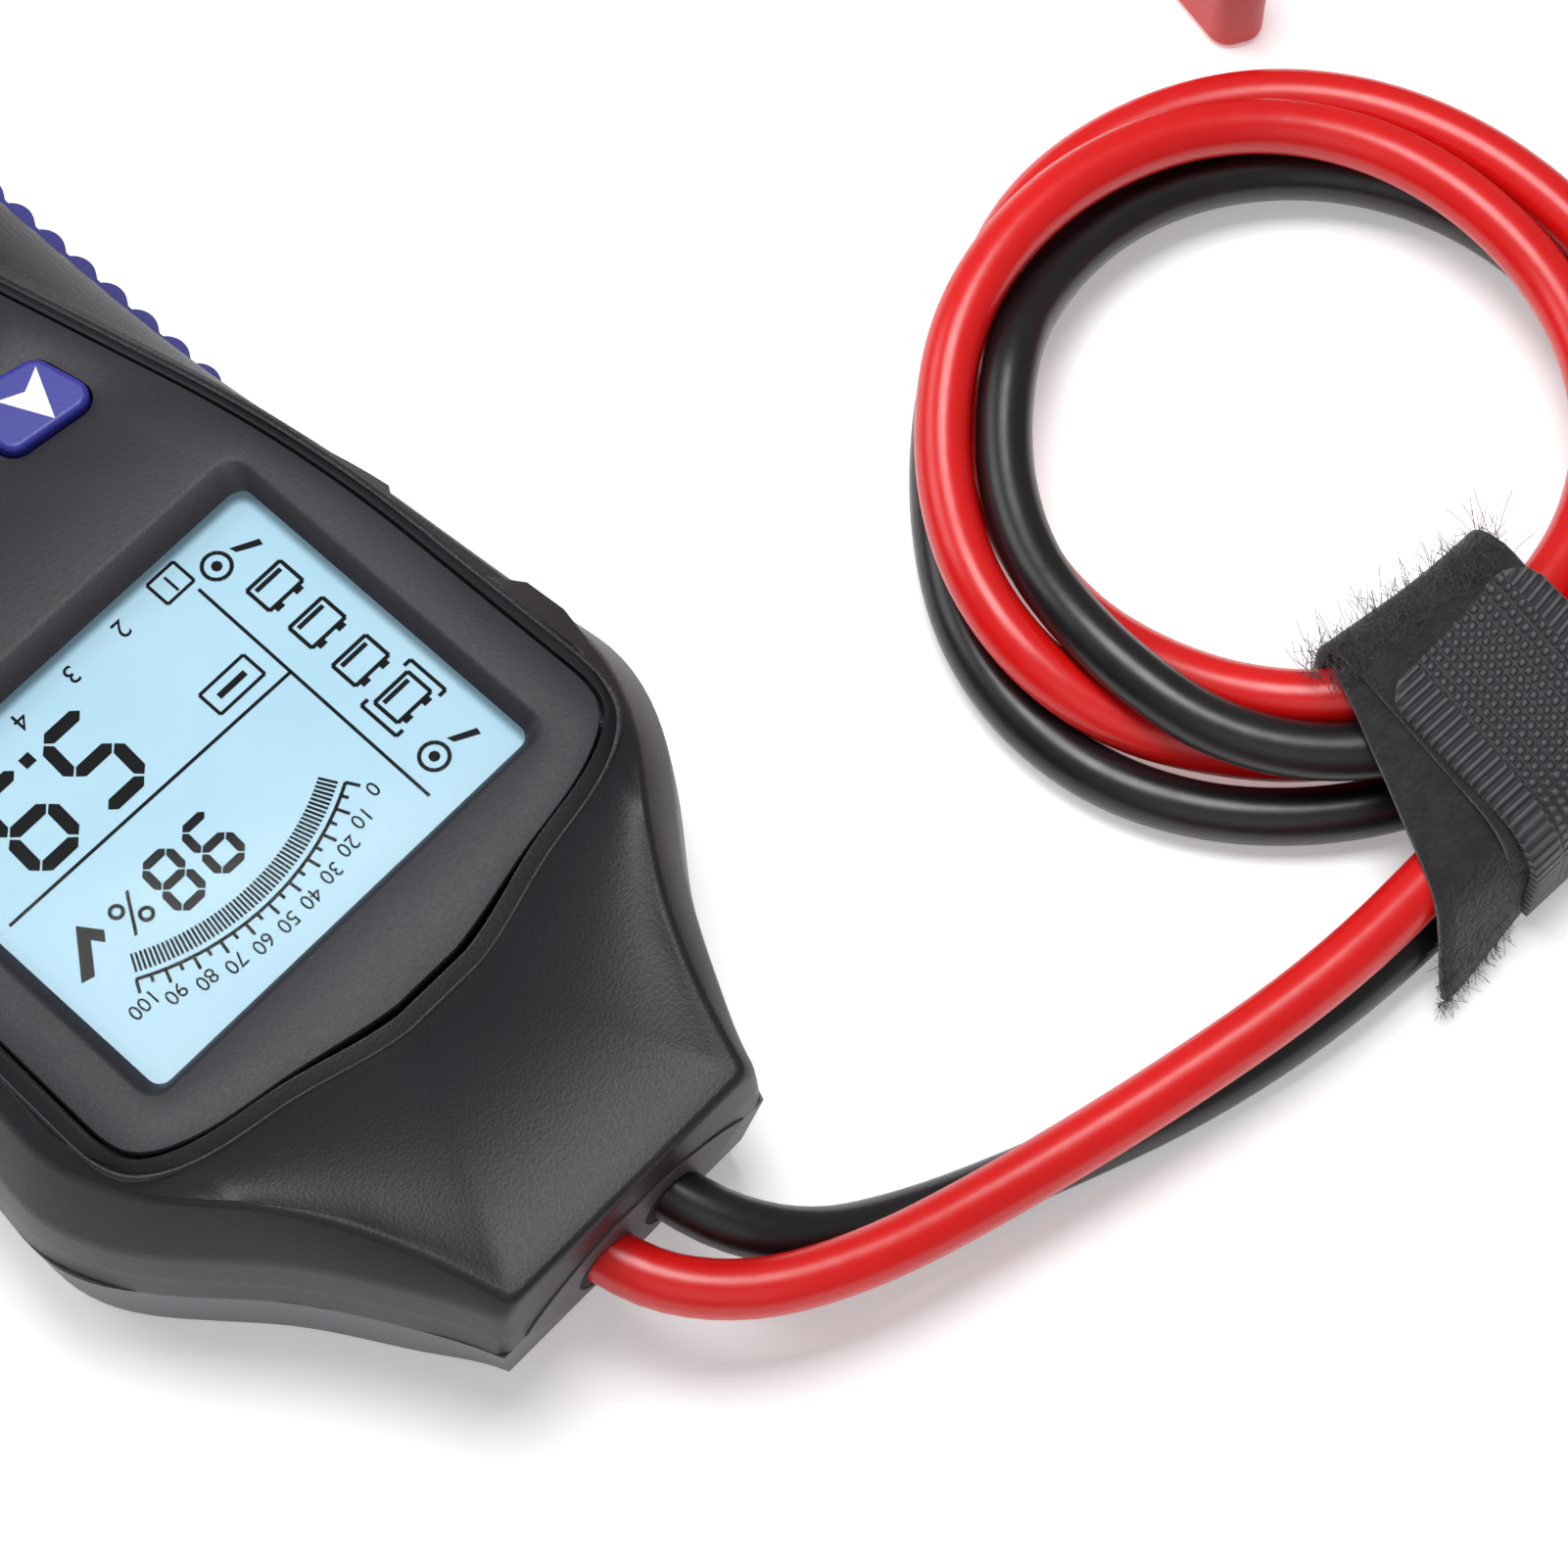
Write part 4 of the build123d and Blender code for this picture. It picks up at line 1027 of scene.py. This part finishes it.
    def battery(self, bm: BMesh, centre: Flat) -> None:
        """Battery symbol lying on its side: a blank case and its two posts.

        Args:
            bm: The mesh that it is added to.
            centre: Its middle.
        """
        x, y = centre
        self.outline_box(bm, centre, (4.6, 3.2), 0.42)
        self.bar(bm, (x - 1.7, y - 0.9), (x + 1.7, y - 0.9), 0.5)
        for side in (-1, 1):
            self.bar(bm, (x + side * 1.3 - 0.5, y + 2.0), (x + side * 1.3 + 0.5, y + 2.0), 0.55)

    def knob(self, bm: BMesh, centre: Flat) -> None:
        """Round setting symbol: a ring of short strokes with a dot in it, and a pointer beside it.

        Args:
            bm: The mesh that it is added to.
            centre: Its middle.
        """
        x, y = centre
        for i in range(16):
            a, b = math.tau * i / 16, math.tau * (i + 1) / 16
            self.bar(bm, around(centre, 1.5, a), around(centre, 1.5, b), 0.42)
        self.shape(bm, [around(centre, 0.6, math.tau * i / 8) for i in range(8)])
        self.shape(bm, [(x - 5.0, y + 0.9), (x - 2.2, y - 0.5), (x - 2.4, y + 0.3), (x - 4.8, y + 1.6)])

    def build_marks(self) -> Piece:
        """Models everything that the cell shows as one thin layer.

        Returns:
            The layer.
        """
        bm = bmesh.new()
        self.bar(bm, (-14.6, 18.4), (-14.3, 50.6), 0.36)
        self.bar(bm, (-14.5, 31.4), (22.8, 30.9), 0.36)
        self.dial(bm)
        self.digit(bm, 9, (3.4, 38.9), 5.9, 0.95)
        self.digit(bm, 8, (8.7, 38.9), 5.9, 0.95)
        self.digit(bm, 5, (5.2, 24.2), 9.6, 1.45)
        self.digit(bm, 9, (14.0, 24.2), 9.6, 1.45)
        self.shape(bm, box_corners(9.0, 10.3, 18.9, 20.2))
        self.shape(bm, [(16.9, 37.8), (18.5, 35.5), (22.2, 40.2), (20.8, 40.6), (18.5, 37.6), (17.7, 38.8)])
        for y in (23.6, 29.5, 35.5, 41.3):
            self.battery(bm, (-20.0, y))
        for side in (-1, 1):
            self.bar(bm, (-20.0 + side * 3.4, 39.0), (-20.0 + side * 3.4, 43.8), 0.4)
            for y in (39.0, 43.8):
                self.bar(bm, (-20.0 + side * 3.4, y), (-20.0 + side * 2.5, y), 0.4)
        for y in (17.9, 48.0):
            self.knob(bm, (-17.6, y))
        self.outline_box(bm, (-9.6, 28.2), (6.0, 3.0), 0.36)
        self.bar(bm, (-11.4, 28.2), (-7.8, 28.2), 0.7)
        self.outline_box(bm, (-13.2, 15.9), (3.6, 3.0), 0.34)
        figures = [(i * 10, self.on_dial(i / 10, self.dial_radius + 2.7), 1.7) for i in range(11)]
        figures += [(n + 1, (-13.2 + 6.8 * n, 15.9), 2.2) for n in range(4)]
        for number, place, high in figures:
            self.number(bm, str(number), place, high)
        self.number(bm, "%", (13.9, 38.2), 4.2)
        bmesh.ops.recalc_face_normals(bm, faces=bm.faces)
        for face in bm.faces:
            if face.normal.z < 0:
                face.normal_flip()
        return piece_of_flat(bm, "display_marks", self.ink)

    def number(self, bm: BMesh, text: str, centre: Flat, high: float) -> None:
        """Adds a plain figure, centred at a place, to the layer.

        Args:
            bm: The mesh that it is added to.
            text: What it says.
            centre: Its middle.
            high: Its height.
        """
        curve = bpy.data.curves.new("figure", "FONT")
        curve.body = text
        curve.size = mm(high * 1.35)
        curve.align_x = "CENTER"
        curve.align_y = "CENTER"
        curve.resolution_u = 3
        holder = bpy.data.objects.new("figure", curve)
        mesh = bpy.data.meshes.new_from_object(holder)
        mesh.transform(Matrix.Translation(metres((*centre, self.cell_z + self.ink))))
        bm.from_mesh(mesh)
        bpy.data.meshes.remove(mesh)
        bpy.data.objects.remove(holder)
        bpy.data.curves.remove(curve)

    def dress(self, cell: Piece, marks: Piece) -> None:
        """Finishes the cell and its marks and ties them to the frame.

        Args:
            cell: The lit cell.
            marks: The layer of marks.
        """
        dress(cell, LitCell())
        dress(marks, SEGMENT)
        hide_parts("display_glass")
        for piece in (cell, marks):
            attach(piece, "root")


def piece_of_flat(bm: BMesh, name: str, thick: float) -> Piece:
    """A layer of flat shapes as a piece with a little thickness, so that every shape is closed.

    Args:
        bm: The flat shapes, in place. It is freed here.
        name: Its name.
        thick: Its thickness.

    Returns:
        The piece.
    """
    piece = mesh_piece(bm, name)
    thicken(piece, "ink", thick)
    return piece


# ---- Key marks ----
@dataclass
class KeyMark:
    """White printed symbol on one key."""

    node: str
    centre: Flat
    corners: tuple[Flat, ...]
    top_z: float = 36.0
    ink: float = 0.06

    def build(self) -> Piece:
        """Models the symbol as a thin layer on the key's top.

        Returns:
            The piece.
        """
        bm = bmesh.new()
        (mid_x, mid_y), z = self.centre, self.top_z + self.ink
        points = [metres((mid_x + x, mid_y + y, z)) for x, y in self.corners]
        bm.faces.new([bm.verts.new(p) for p in points])
        bmesh.ops.triangulate(bm, faces=bm.faces[:])
        for face in bm.faces:
            face.normal_update()
            if face.normal.z < 0:
                face.normal_flip()
        return piece_of_flat(bm, f"{self.node}_mark", self.ink)

    def dress(self, piece: Piece) -> None:
        """Finishes the symbol and ties it to its key.

        Args:
            piece: The piece that build made.
        """
        dress(piece, MARK_INK)
        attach(piece, self.node)


ARROW = ((0.0, 3.0), (-2.7, -2.6), (0.0, -1.3), (2.7, -2.6))
BACK_ARROW = ((-2.6, 0.0), (-0.4, -1.9), (-0.4, -0.6), (2.6, -0.6), (2.6, 0.6), (-0.4, 0.6), (-0.4, 1.9))
KEY_MARKS = (
    KeyMark("key_up", (-16.9, -6.6), ARROW),
    KeyMark("key_down", (16.9, -6.6), tuple((-x, -y) for x, y in ARROW)),
    KeyMark("key_enter", (0.0, -11.0), ((-2.4, -1.6), (2.4, -1.6), (2.4, 1.6), (-2.4, 1.6))),
    KeyMark("key_back", (0.0, -27.0), BACK_ARROW),
)


# ---- Leads ----
RING_CENTRE: Flat = (-111.5, 79.0)
RING_START = 73.0
RING_STEP = 15


@dataclass
class Lead:
    """One test lead: out of the end plate, twice round the coil and on to its clamp.

    run and tail are points in millimetres. turns holds degrees wound, radius and height, between which
    the coil's points follow smoothly.
    """

    name: str
    finish: Finish
    run: tuple[Point, ...]
    turns: tuple[Point, ...]
    tail: tuple[Point, ...]
    exit: Point
    length: float
    diameter: float = 6.0

    def wound(self, degrees: float) -> Vector:
        """Point of the coil after a number of degrees of winding.

        Args:
            degrees: Degrees wound from the coil's start.

        Returns:
            The point, in millimetres.
        """
        last = len(self.turns) - 1
        i = next((k for k in range(last) if degrees <= self.turns[k + 1][0]), last - 1)
        slopes = []
        for k in (i, i + 1):
            a, b = self.turns[max(k - 1, 0)], self.turns[min(k + 1, last)]
            slopes.append((Vector(b[1:]) - Vector(a[1:])) / (b[0] - a[0]))
        a, b = self.turns[i], self.turns[i + 1]
        width = b[0] - a[0]
        t = (degrees - a[0]) / width
        value = Vector(a[1:]) * (2 * t**3 - 3 * t**2 + 1) + slopes[0] * width * (t**3 - 2 * t**2 + t)
        value += Vector(b[1:]) * (3 * t**2 - 2 * t**3) + slopes[1] * width * (t**3 - t**2)
        angle = math.radians(RING_START + degrees)
        return Vector((*around(RING_CENTRE, value[0], angle), value[1]))

    def build(self) -> Piece:
        """Models the lead as one smooth round curve.

        Returns:
            The piece.
        """
        points = [Vector(p) for p in self.run]
        for degrees in range(0, int(self.turns[-1][0]) + 1, RING_STEP):
            points.append(self.wound(degrees))
        points += [Vector(p) for p in self.tail]
        curve = bpy.data.curves.new(self.name, "CURVE")
        curve.dimensions = "3D"
        curve.resolution_u = 6
        curve.bevel_depth = mm(self.diameter / 2)
        curve.bevel_resolution = 6
        curve.use_fill_caps = True
        spline = curve.splines.new("NURBS")
        spline.points.add(len(points) - 1)
        for place, point in zip(spline.points, points):
            place.co = (*metres(point), 1)
        spline.order_u = 3
        spline.use_endpoint_u = True
        return linked(self.name, curve)

    def dress(self, piece: Piece) -> None:
        """Args:
            piece: The piece that build made.
        """
        colour = self.name.split("_")[0]
        dress(piece, self.finish)
        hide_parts(f"{colour}_run", f"{colour}_coil", f"{colour}_tail")
        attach(piece, "root")


LEADS = (
    Lead(
        name="red_lead",
        finish=RED_PVC,
        run=(
            (4.55, 81.0, 14.4), (4.55, 92.2, 14.3), (-1.8, 102.6, 13.3), (-13.2, 109.2, 12.2),
            (-28.0, 113.6, 10.8), (-47.0, 118.4, 10.6), (-67.0, 122.4, 11.0), (-86.0, 122.9, 11.0),
        ),
        turns=(
            (0, 45, 11), (14, 43.8, 10.9), (28, 42.7, 10.7), (50, 41.6, 10.4), (100, 39.8, 10),
            (150, 41, 9.6),
            (185, 39.4, 9.2), (205, 37.5, 9), (225, 33.8, 8), (245, 31.2, 5.2), (275, 29.8, 5),
            (300, 30.1, 7.8),
            (335, 31.6, 10.6), (360, 32.1, 11), (374, 31.5, 11.3), (400, 31.9, 11), (460, 33, 10.8),
            (510, 35.5, 12.4), (545, 35.2, 14.4), (565, 35.6, 14.9), (585, 36.4, 13.8), (605, 36.8, 11.2),
            (635, 38.4, 10.2), (650, 38.1, 8.2), (660, 37.2, 6.4), (672, 35.6, 5), (695, 34.9, 4.6),
            (720, 34.6, 5.2), (734, 36.6, 8.6), (748, 37.4, 13.6), (764, 39.4, 16.4), (780, 42.6, 17),
            (795, 45.4, 16.2),
        ),
        tail=(
            (-154.6, 97.6, 14.8), (-166.2, 92.4, 11.5), (-176.4, 84.8, 9.4), (-184.4, 71.8, 8.0),
            (-186.72, 56.52, 8.0), (-185.47, 42.18, 8.0),
        ),
        exit=(4.55, 92.0, 14.3),
        length=705.0,
    ),
    Lead(
        name="black_lead",
        finish=BLACK_PVC,
        run=(
            (-4.55, 80.8, 14.4), (-4.55, 92.0, 14.1), (-10.8, 102.6, 9.9), (-21.8, 107.8, 4.2),
            (-36.0, 113.8, 3.2), (-52.0, 119.8, 3.3), (-68.5, 123.6, 4.7), (-86.0, 124.6, 4.7),
        ),
        turns=(
            (0, 47.2, 4.7), (20, 46.4, 4.4), (50, 44.8, 4.2), (100, 43, 4), (150, 40.2, 3.3),
            (205, 37.8, 3.15),
            (245, 37, 3.15), (275, 40.6, 3.2), (300, 42.4, 3.2), (335, 41.4, 3.5), (360, 40.9, 3.7),
            (374, 40.9, 3.6), (400, 38.6, 4.4), (460, 36.2, 4.4), (510, 33.8, 5.6), (545, 32, 7.4),
            (565, 31, 8.8), (585, 30.2, 12.4), (605, 30.4, 11.4), (635, 32.2, 11.4), (650, 33.2, 12.4),
            (660, 34.4, 12.3), (672, 36.2, 11.7), (695, 38.1, 11.1), (720, 38.6, 11.6), (734, 40.5, 15.9),
            (744, 42.5, 16.9), (756, 45.4, 15.9), (770, 47.8, 13), (780, 48.5, 11.2),
        ),
        tail=(
            (-154.4, 102.6, 9.4), (-166.6, 99.6, 4.9), (-181.0, 93.4, 4.6), (-192.6, 83.4, 5.6),
            (-199.6, 71.4, 7.6), (-201.67, 59.48, 8.0), (-200.60, 47.23, 8.0),
        ),
        exit=(-4.55, 92.0, 14.1),
        length=738.0,
    ),
)


# ---- Strap ----
@dataclass
class Strap:
    """Hook-and-loop strap round the coil: a dark loop band, its slanted loose end, and hook tape on top.

    Its own directions are along the leads, across them towards the coil's middle, and up.
    """

    middle: Flat = (-100.0, 116.2)
    heading: float = 170.0
    centre_across: float = 1.3
    half_across: float = 15.0
    low_z: float = 0.7
    high_z: float = 16.3
    corner: float = 5.5
    width: float = 19.5
    thick: float = 1.0
    bulge: float = 3.8
    tape_slant: float = 0.054
    steps: int = 12
    seed: int = 7

    def place(self, along: float, across: float, z: float) -> Vector:
        """Point of the frame, in millimetres, from the strap's own directions.

        Args:
            along: Place along the leads.
            across: Place across them.
            z: Height before the band's bulge.

        Returns:
            The point, in millimetres.
        """
        way = math.radians(self.heading)
        ahead = Vector((math.cos(way), math.sin(way)))
        inward = Vector((-math.sin(way), math.cos(way)))
        spot = Vector(self.middle) + ahead * along + inward * across
        swell = min(1.0, max(0.0, (along + 1.0) / 10.75))
        return Vector((spot.x, spot.y, z + self.bulge * swell * swell * z / self.high_z))

    def across_row(self, near: Point, far: Point) -> list[Point]:
        """Evenly spaced points from the near edge to the far one, in the strap's own directions."""
        a, b = Vector(near), Vector(far)
        return [tuple(a.lerp(b, i / self.steps)) for i in range(self.steps + 1)]

    def ribbon(self, name: str, rows: Sequence[Sequence[Point]], closed: bool = False) -> Piece:
        """Band through rows of points, with UVs in millimetres across it and along it.

        Args:
            name: The piece's name.
            rows: One row for each step of the band's length, near edge first.
            closed: Whether the last row joins the first.

        Returns:
            The piece, with its thickness as a modifier.
        """
        bm = bmesh.new()
        layer = bm.verts.layers.float_vector.new("flat")
        edges, length, before = [], 0.0, None
        for row in rows:
            middle = Vector(row[len(row) // 2])
            length += (middle - before).length if before else 0.0
            before = middle
            verts = []
            for point in row:
                vert = bm.verts.new(metres(self.place(*point)))
                vert[layer] = (point[0] - rows[-1][0][0], length, 0)
                verts.append(vert)
            edges.append([bm.edges.new(pair) for pair in zip(verts, verts[1:])])
        for first, second in zip(edges, edges[1:]):
            bmesh.ops.bridge_loops(bm, edges=first + second)
        if closed:
            bmesh.ops.bridge_loops(bm, edges=edges[-1] + edges[0])
        flat = bm.loops.layers.uv.new("flat_mm")
        bmesh.ops.recalc_face_normals(bm, faces=bm.faces)
        for face in bm.faces:
            face.smooth = True
            for corner in face.loops:
                corner[flat].uv = corner.vert[layer].xy
        piece = mesh_piece(bm, name)
        thicken(piece, "thickness", self.thick, 0)
        return piece

    def band_rows(self) -> list[list[Point]]:
        """Rows of the loop band, right round the leads.

        Returns:
            The rows, in the strap's own directions.
        """
        left, right = self.centre_across - self.half_across, self.centre_across + self.half_across
        ring = rounded(box_corners(left, right, self.low_z, self.high_z), self.corner, 6)
        half = self.width / 2
        return [self.across_row((-half, p.x, p.y), (half, p.x, p.y)) for p in ring]

    def tape_rows(self) -> list[list[Point]]:
        """Rows of the hook tape, from its round-cornered end over the top and down the outer side.

        Returns:
            The rows, in the strap's own directions.
        """
        lift, nip = 1.1, 3.2
        top, left = self.high_z + lift, self.centre_across - self.half_across
        path = [(8.6 - s, top, s) for s in (0.0, 0.25, 0.8, 1.7, 3.2, 5.5, 8.5, 11.5, 14.5)]
        for step in range(1, 7):
            angle = math.radians(90 + 15 * step)
            reach = self.corner + lift
            path.append((*around((left + self.corner, self.high_z - self.corner), reach, angle), nip))
        path += [(left - lift, 8.0, nip), (left - lift, 5.2, nip), (left - lift, 2.8, nip)]
        rows = []
        for across, z, s in path:
            cut_in = nip - math.sqrt(max(0.0, nip**2 - (nip - min(s, nip)) ** 2))
            half = self.width / 2 - cut_in
            shift = self.tape_slant * (across - 7.0)
            rows.append(self.across_row((-half - shift, across - 1.2, z), (half - shift, across + 1.2, z)))
        return rows

    def tail_rows(self) -> list[list[Point]]:
        """Rows of the loose end: over the leads, fanning out past the band's near edge.

        Returns:
            The rows, in the strap's own directions.
        """
        near = (
            (-11.2, 12.5, 15.0), (-12.4, 8.0, 15.15), (-13.7, 4.0, 15.2), (-14.9, 0.0, 15.2),
            (-16.2, -4.0, 15.15), (-17.5, -8.5, 14.85), (-18.4, -11.6, 14.0),
            (-19.1, -13.8, 12.2), (-19.6, -15.2, 9.6),
            (-20.0, -16.2, 6.8),
            (-20.4, -17.2, 4.2), (-20.8, -18.4, 2.2),
        )
        far = (
            (7.0, 12.0, 15.0), (6.5, 8.0, 15.1), (6.0, 4.0, 15.1), (5.5, 0.0, 15.1), (5.0, -4.0, 15.0),
            (4.5, -8.2, 14.7), (4.0, -10.6, 13.6), (3.5, -12.0, 11.8), (3.0, -12.5, 9.4), (2.5, -12.6, 6.8),
            (2.0, -12.6, 4.6), (1.5, -12.7, 2.8),
        )
        return [self.across_row(a, b) for a, b in zip(near, far)]

    def fibres(self, tail: Sequence[Sequence[Point]]) -> Piece:
        """Fine bent fibres that stand out of the loop face along its inner side and its loose end.

        Args:
            tail: Rows of the loose end.

        Returns:
            The fibres as one piece.
        """
        draw = random.Random(self.seed)
        curve = bpy.data.curves.new("strap_fibres", "CURVE")
        curve.dimensions = "3D"
        curve.resolution_u = 2
        curve.bevel_depth = mm(0.03)
        curve.bevel_resolution = 0
        roots = []
        for _ in range(900):
            along = draw.uniform(-13.5, 9.5)
            across = draw.uniform(10.0, 15.4)
            drop = max(0.0, across - 11.0) ** 2 * 0.12
            root = (along, across, self.high_z + 0.3 - drop)
            roots.append((root, (0.2, 1.0, 0.75), draw.uniform(0.5, 1.7)))
        for _ in range(600):
            row = tail[draw.choice((-1, -1, -2, -3, -4))]
            spot = row[draw.randrange(0, 6)]
            roots.append((spot, (-0.35, -1.0, 0.3), draw.uniform(0.3, 1.0)))
        for (along, across, z), way, reach in roots:
            spline = curve.splines.new("NURBS")
            spline.points.add(3)
            start = Vector((along + draw.uniform(-0.9, 0.9), across, z))
            lean = Vector(way) + Vector([draw.uniform(-0.8, 0.8) for _ in range(3)])
            hook = Vector([draw.uniform(-1.3, 1.3) for _ in range(3)])
            for i, place in enumerate(spline.points):
                t = i / 3
                spot = start + lean * (reach * t) + hook * (reach * t * t)
                place.co = (*metres(self.place(spot.x, spot.y, max(spot.z, 0.4))), 1)
            spline.order_u = 3
            spline.use_endpoint_u = True
        holder = bpy.data.objects.new("strap_fibre_lines", curve)
        mesh = bpy.data.meshes.new_from_object(holder)
        bpy.data.objects.remove(holder)
        return linked("strap_fibres", mesh)

    def build(self) -> list[Piece]:
        """Models the band, the tape, the loose end and the fibres.

        Returns:
            The band, the tape, the loose end and the fibres.
        """
        tail = self.tail_rows()
        return [
            self.ribbon("strap_band", self.band_rows(), closed=True),
            self.ribbon("strap_tape", self.tape_rows()),
            self.ribbon("strap_tail", tail),
            self.fibres(tail),
        ]

    def dress(self, band: Piece, tape: Piece, tail: Piece, fibres: Piece) -> None:
        """Finishes the strap and ties it to the frame.

        Args:
            band: The loop band.
            tape: The hook tape.
            tail: The loose end.
            fibres: The fibres.
        """
        dress(band, LOOP_NYLON)
        dress(tape, HookTape())
        dress(tail, LOOP_NYLON)
        dress(fibres, FIBRE_NYLON)
        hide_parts("coil_strap")
        for piece in (band, tape, tail, fibres):
            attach(piece, "root")


# ---- Pieces that keep their CAD shape ----
NODE_FINISHES: dict[str, Coating] = {
    "shell_plastic": CASE_ABS, "lower_shell_plastic": LOWER_ABS, "panel_plastic": PANEL_ABS,
    "grip_rubber": GRIP_RUBBER, "key_rubber": KEY_SILICONE, "display_lens": ClearLens(),
    "display_cell": WHITE_ABS, "white_plastic": WHITE_ABS, "strip_rubber": STRIP, "board_laminate": LAMINATE,
    "chip_plastic": EPOXY, "ceramic": CERAMIC, "fin_aluminium": FIN, "can_aluminium": CAN, "steel": ZINC,
    "spring_steel": SPRING, "copper": COPPER, "plate_plastic": PLATE_ABS, "red_sheath": RED_PVC,
    "black_sheath": BLACK_PVC, "strap_fabric": GROOVE_SHADE_AND_STRAP_BLACK, "red_clamp_plastic": RED_CLAMP_ABS,
    "black_clamp_plastic": BLACK_CLAMP_ABS,
}


def dress_nodes() -> None:
    """Gives every CAD node the finish of its material slot."""
    for entry in frame["record"]["subparts"]:
        dress(frame["nodes"][entry["node"]], NODE_FINISHES[entry["material_slot"]])
        LOG.info("dressed node %s", entry["node"])


# ---- Studio ----
@dataclass
class Studio:
    """Pale floor, large soft lights and the camera."""

    target: Point = (-49.0, 65.0, 0.0)
    azimuth: float = 133.1
    elevation: float = 65.8
    distance: float = 550.0
    lens: float = 122.4
    world_strength: float = 0.3
    floor_glow: float = 0.28

    def camera(self) -> None:
        """Places the camera on its target."""
        a, e = math.radians(self.azimuth), math.radians(self.elevation)
        back = Vector((math.sin(a) * math.cos(e), -math.cos(a) * math.cos(e), math.sin(e)))
        data = bpy.data.cameras.new("camera")
        data.lens = self.lens
        data.sensor_width = 36.0
        data.clip_start = 0.01
        holder = linked("camera", data)
        holder.location = metres(self.target) + back * mm(self.distance)
        holder.rotation_euler = (-back).to_track_quat("-Z", "Y").to_euler()
        bpy.context.scene.camera = holder

    def light(self, name: str, place: Point, size: float, power: float) -> None:
        """A square soft light that faces the middle of the object.

        Args:
            name: Its name.
            place: Where it stands.
            size: Length of its sides.
            power: Its power in watts.
        """
        data = bpy.data.lights.new(name, "AREA")
        data.size = mm(size)
        data.energy = power
        holder = linked(name, data)
        holder.location = metres(place)
        way = metres(self.target) - holder.location
        holder.rotation_euler = way.to_track_quat("-Z", "Y").to_euler()

    def floor(self) -> None:
        """A wide pale floor just under the object."""
        bm = bmesh.new()
        bmesh.ops.create_grid(bm, x_segments=1, y_segments=1, size=3.0)
        bmesh.ops.translate(bm, verts=bm.verts, vec=(0, 0, -mm(0.02)))
        piece = piece_of(bm, "studio_floor")
        board = Finish("matt_white_board", "#fcfcfc", "#f9f9f9", 0.85, grain=3.0, relief=0.002, patch=400.0)
        dress(piece, board)
        shader = piece.data.materials[0].node_tree.nodes["Principled BSDF"]
        shader.inputs["Emission Color"].default_value = linear("#ffffff")
        shader.inputs["Emission Strength"].default_value = self.floor_glow

    def build(self) -> None:
        """Sets up the whole studio."""
        self.camera()
        self.floor()
        world = bpy.data.worlds.new("studio")
        world.use_nodes = True
        world.node_tree.nodes["Background"].inputs["Color"].default_value = linear("#f6f7fa")
        world.node_tree.nodes["Background"].inputs["Strength"].default_value = self.world_strength
        bpy.context.scene.world = world
        self.light("key_light", (-110.0, -40.0, 690.0), 320.0, 3.7)
        self.light("fill_light", (330.0, 420.0, 460.0), 480.0, 0.5)
        self.light("rim_light", (160.0, -420.0, 360.0), 300.0, 0.9)
        bpy.context.scene.view_settings.view_transform = "Standard"


def main() -> None:
    """Builds the studio, the leads and then every other piece."""
    logging.basicConfig(level=logging.INFO)
    Studio().build()
    dress_nodes()
    for lead in LEADS:
        lead.dress(lead.build())
        LOG.info("built %s", lead.name)
    strap = Strap()
    strap.dress(*strap.build())
    LOG.info("built the strap")
    for part in (UpperCase(), FacePanel()):
        part.dress(part.build())
        LOG.info("built %s", type(part).__name__)
    plate = EndPlate()
    plate.dress(*plate.build())
    display = Display()
    display.dress(display.build_cell(), display.build_marks())
    LOG.info("built the display")
    for mark in KEY_MARKS:
        mark.dress(mark.build())
        LOG.info("built %s mark", mark.node)


if __name__ == "__main__":
    main()
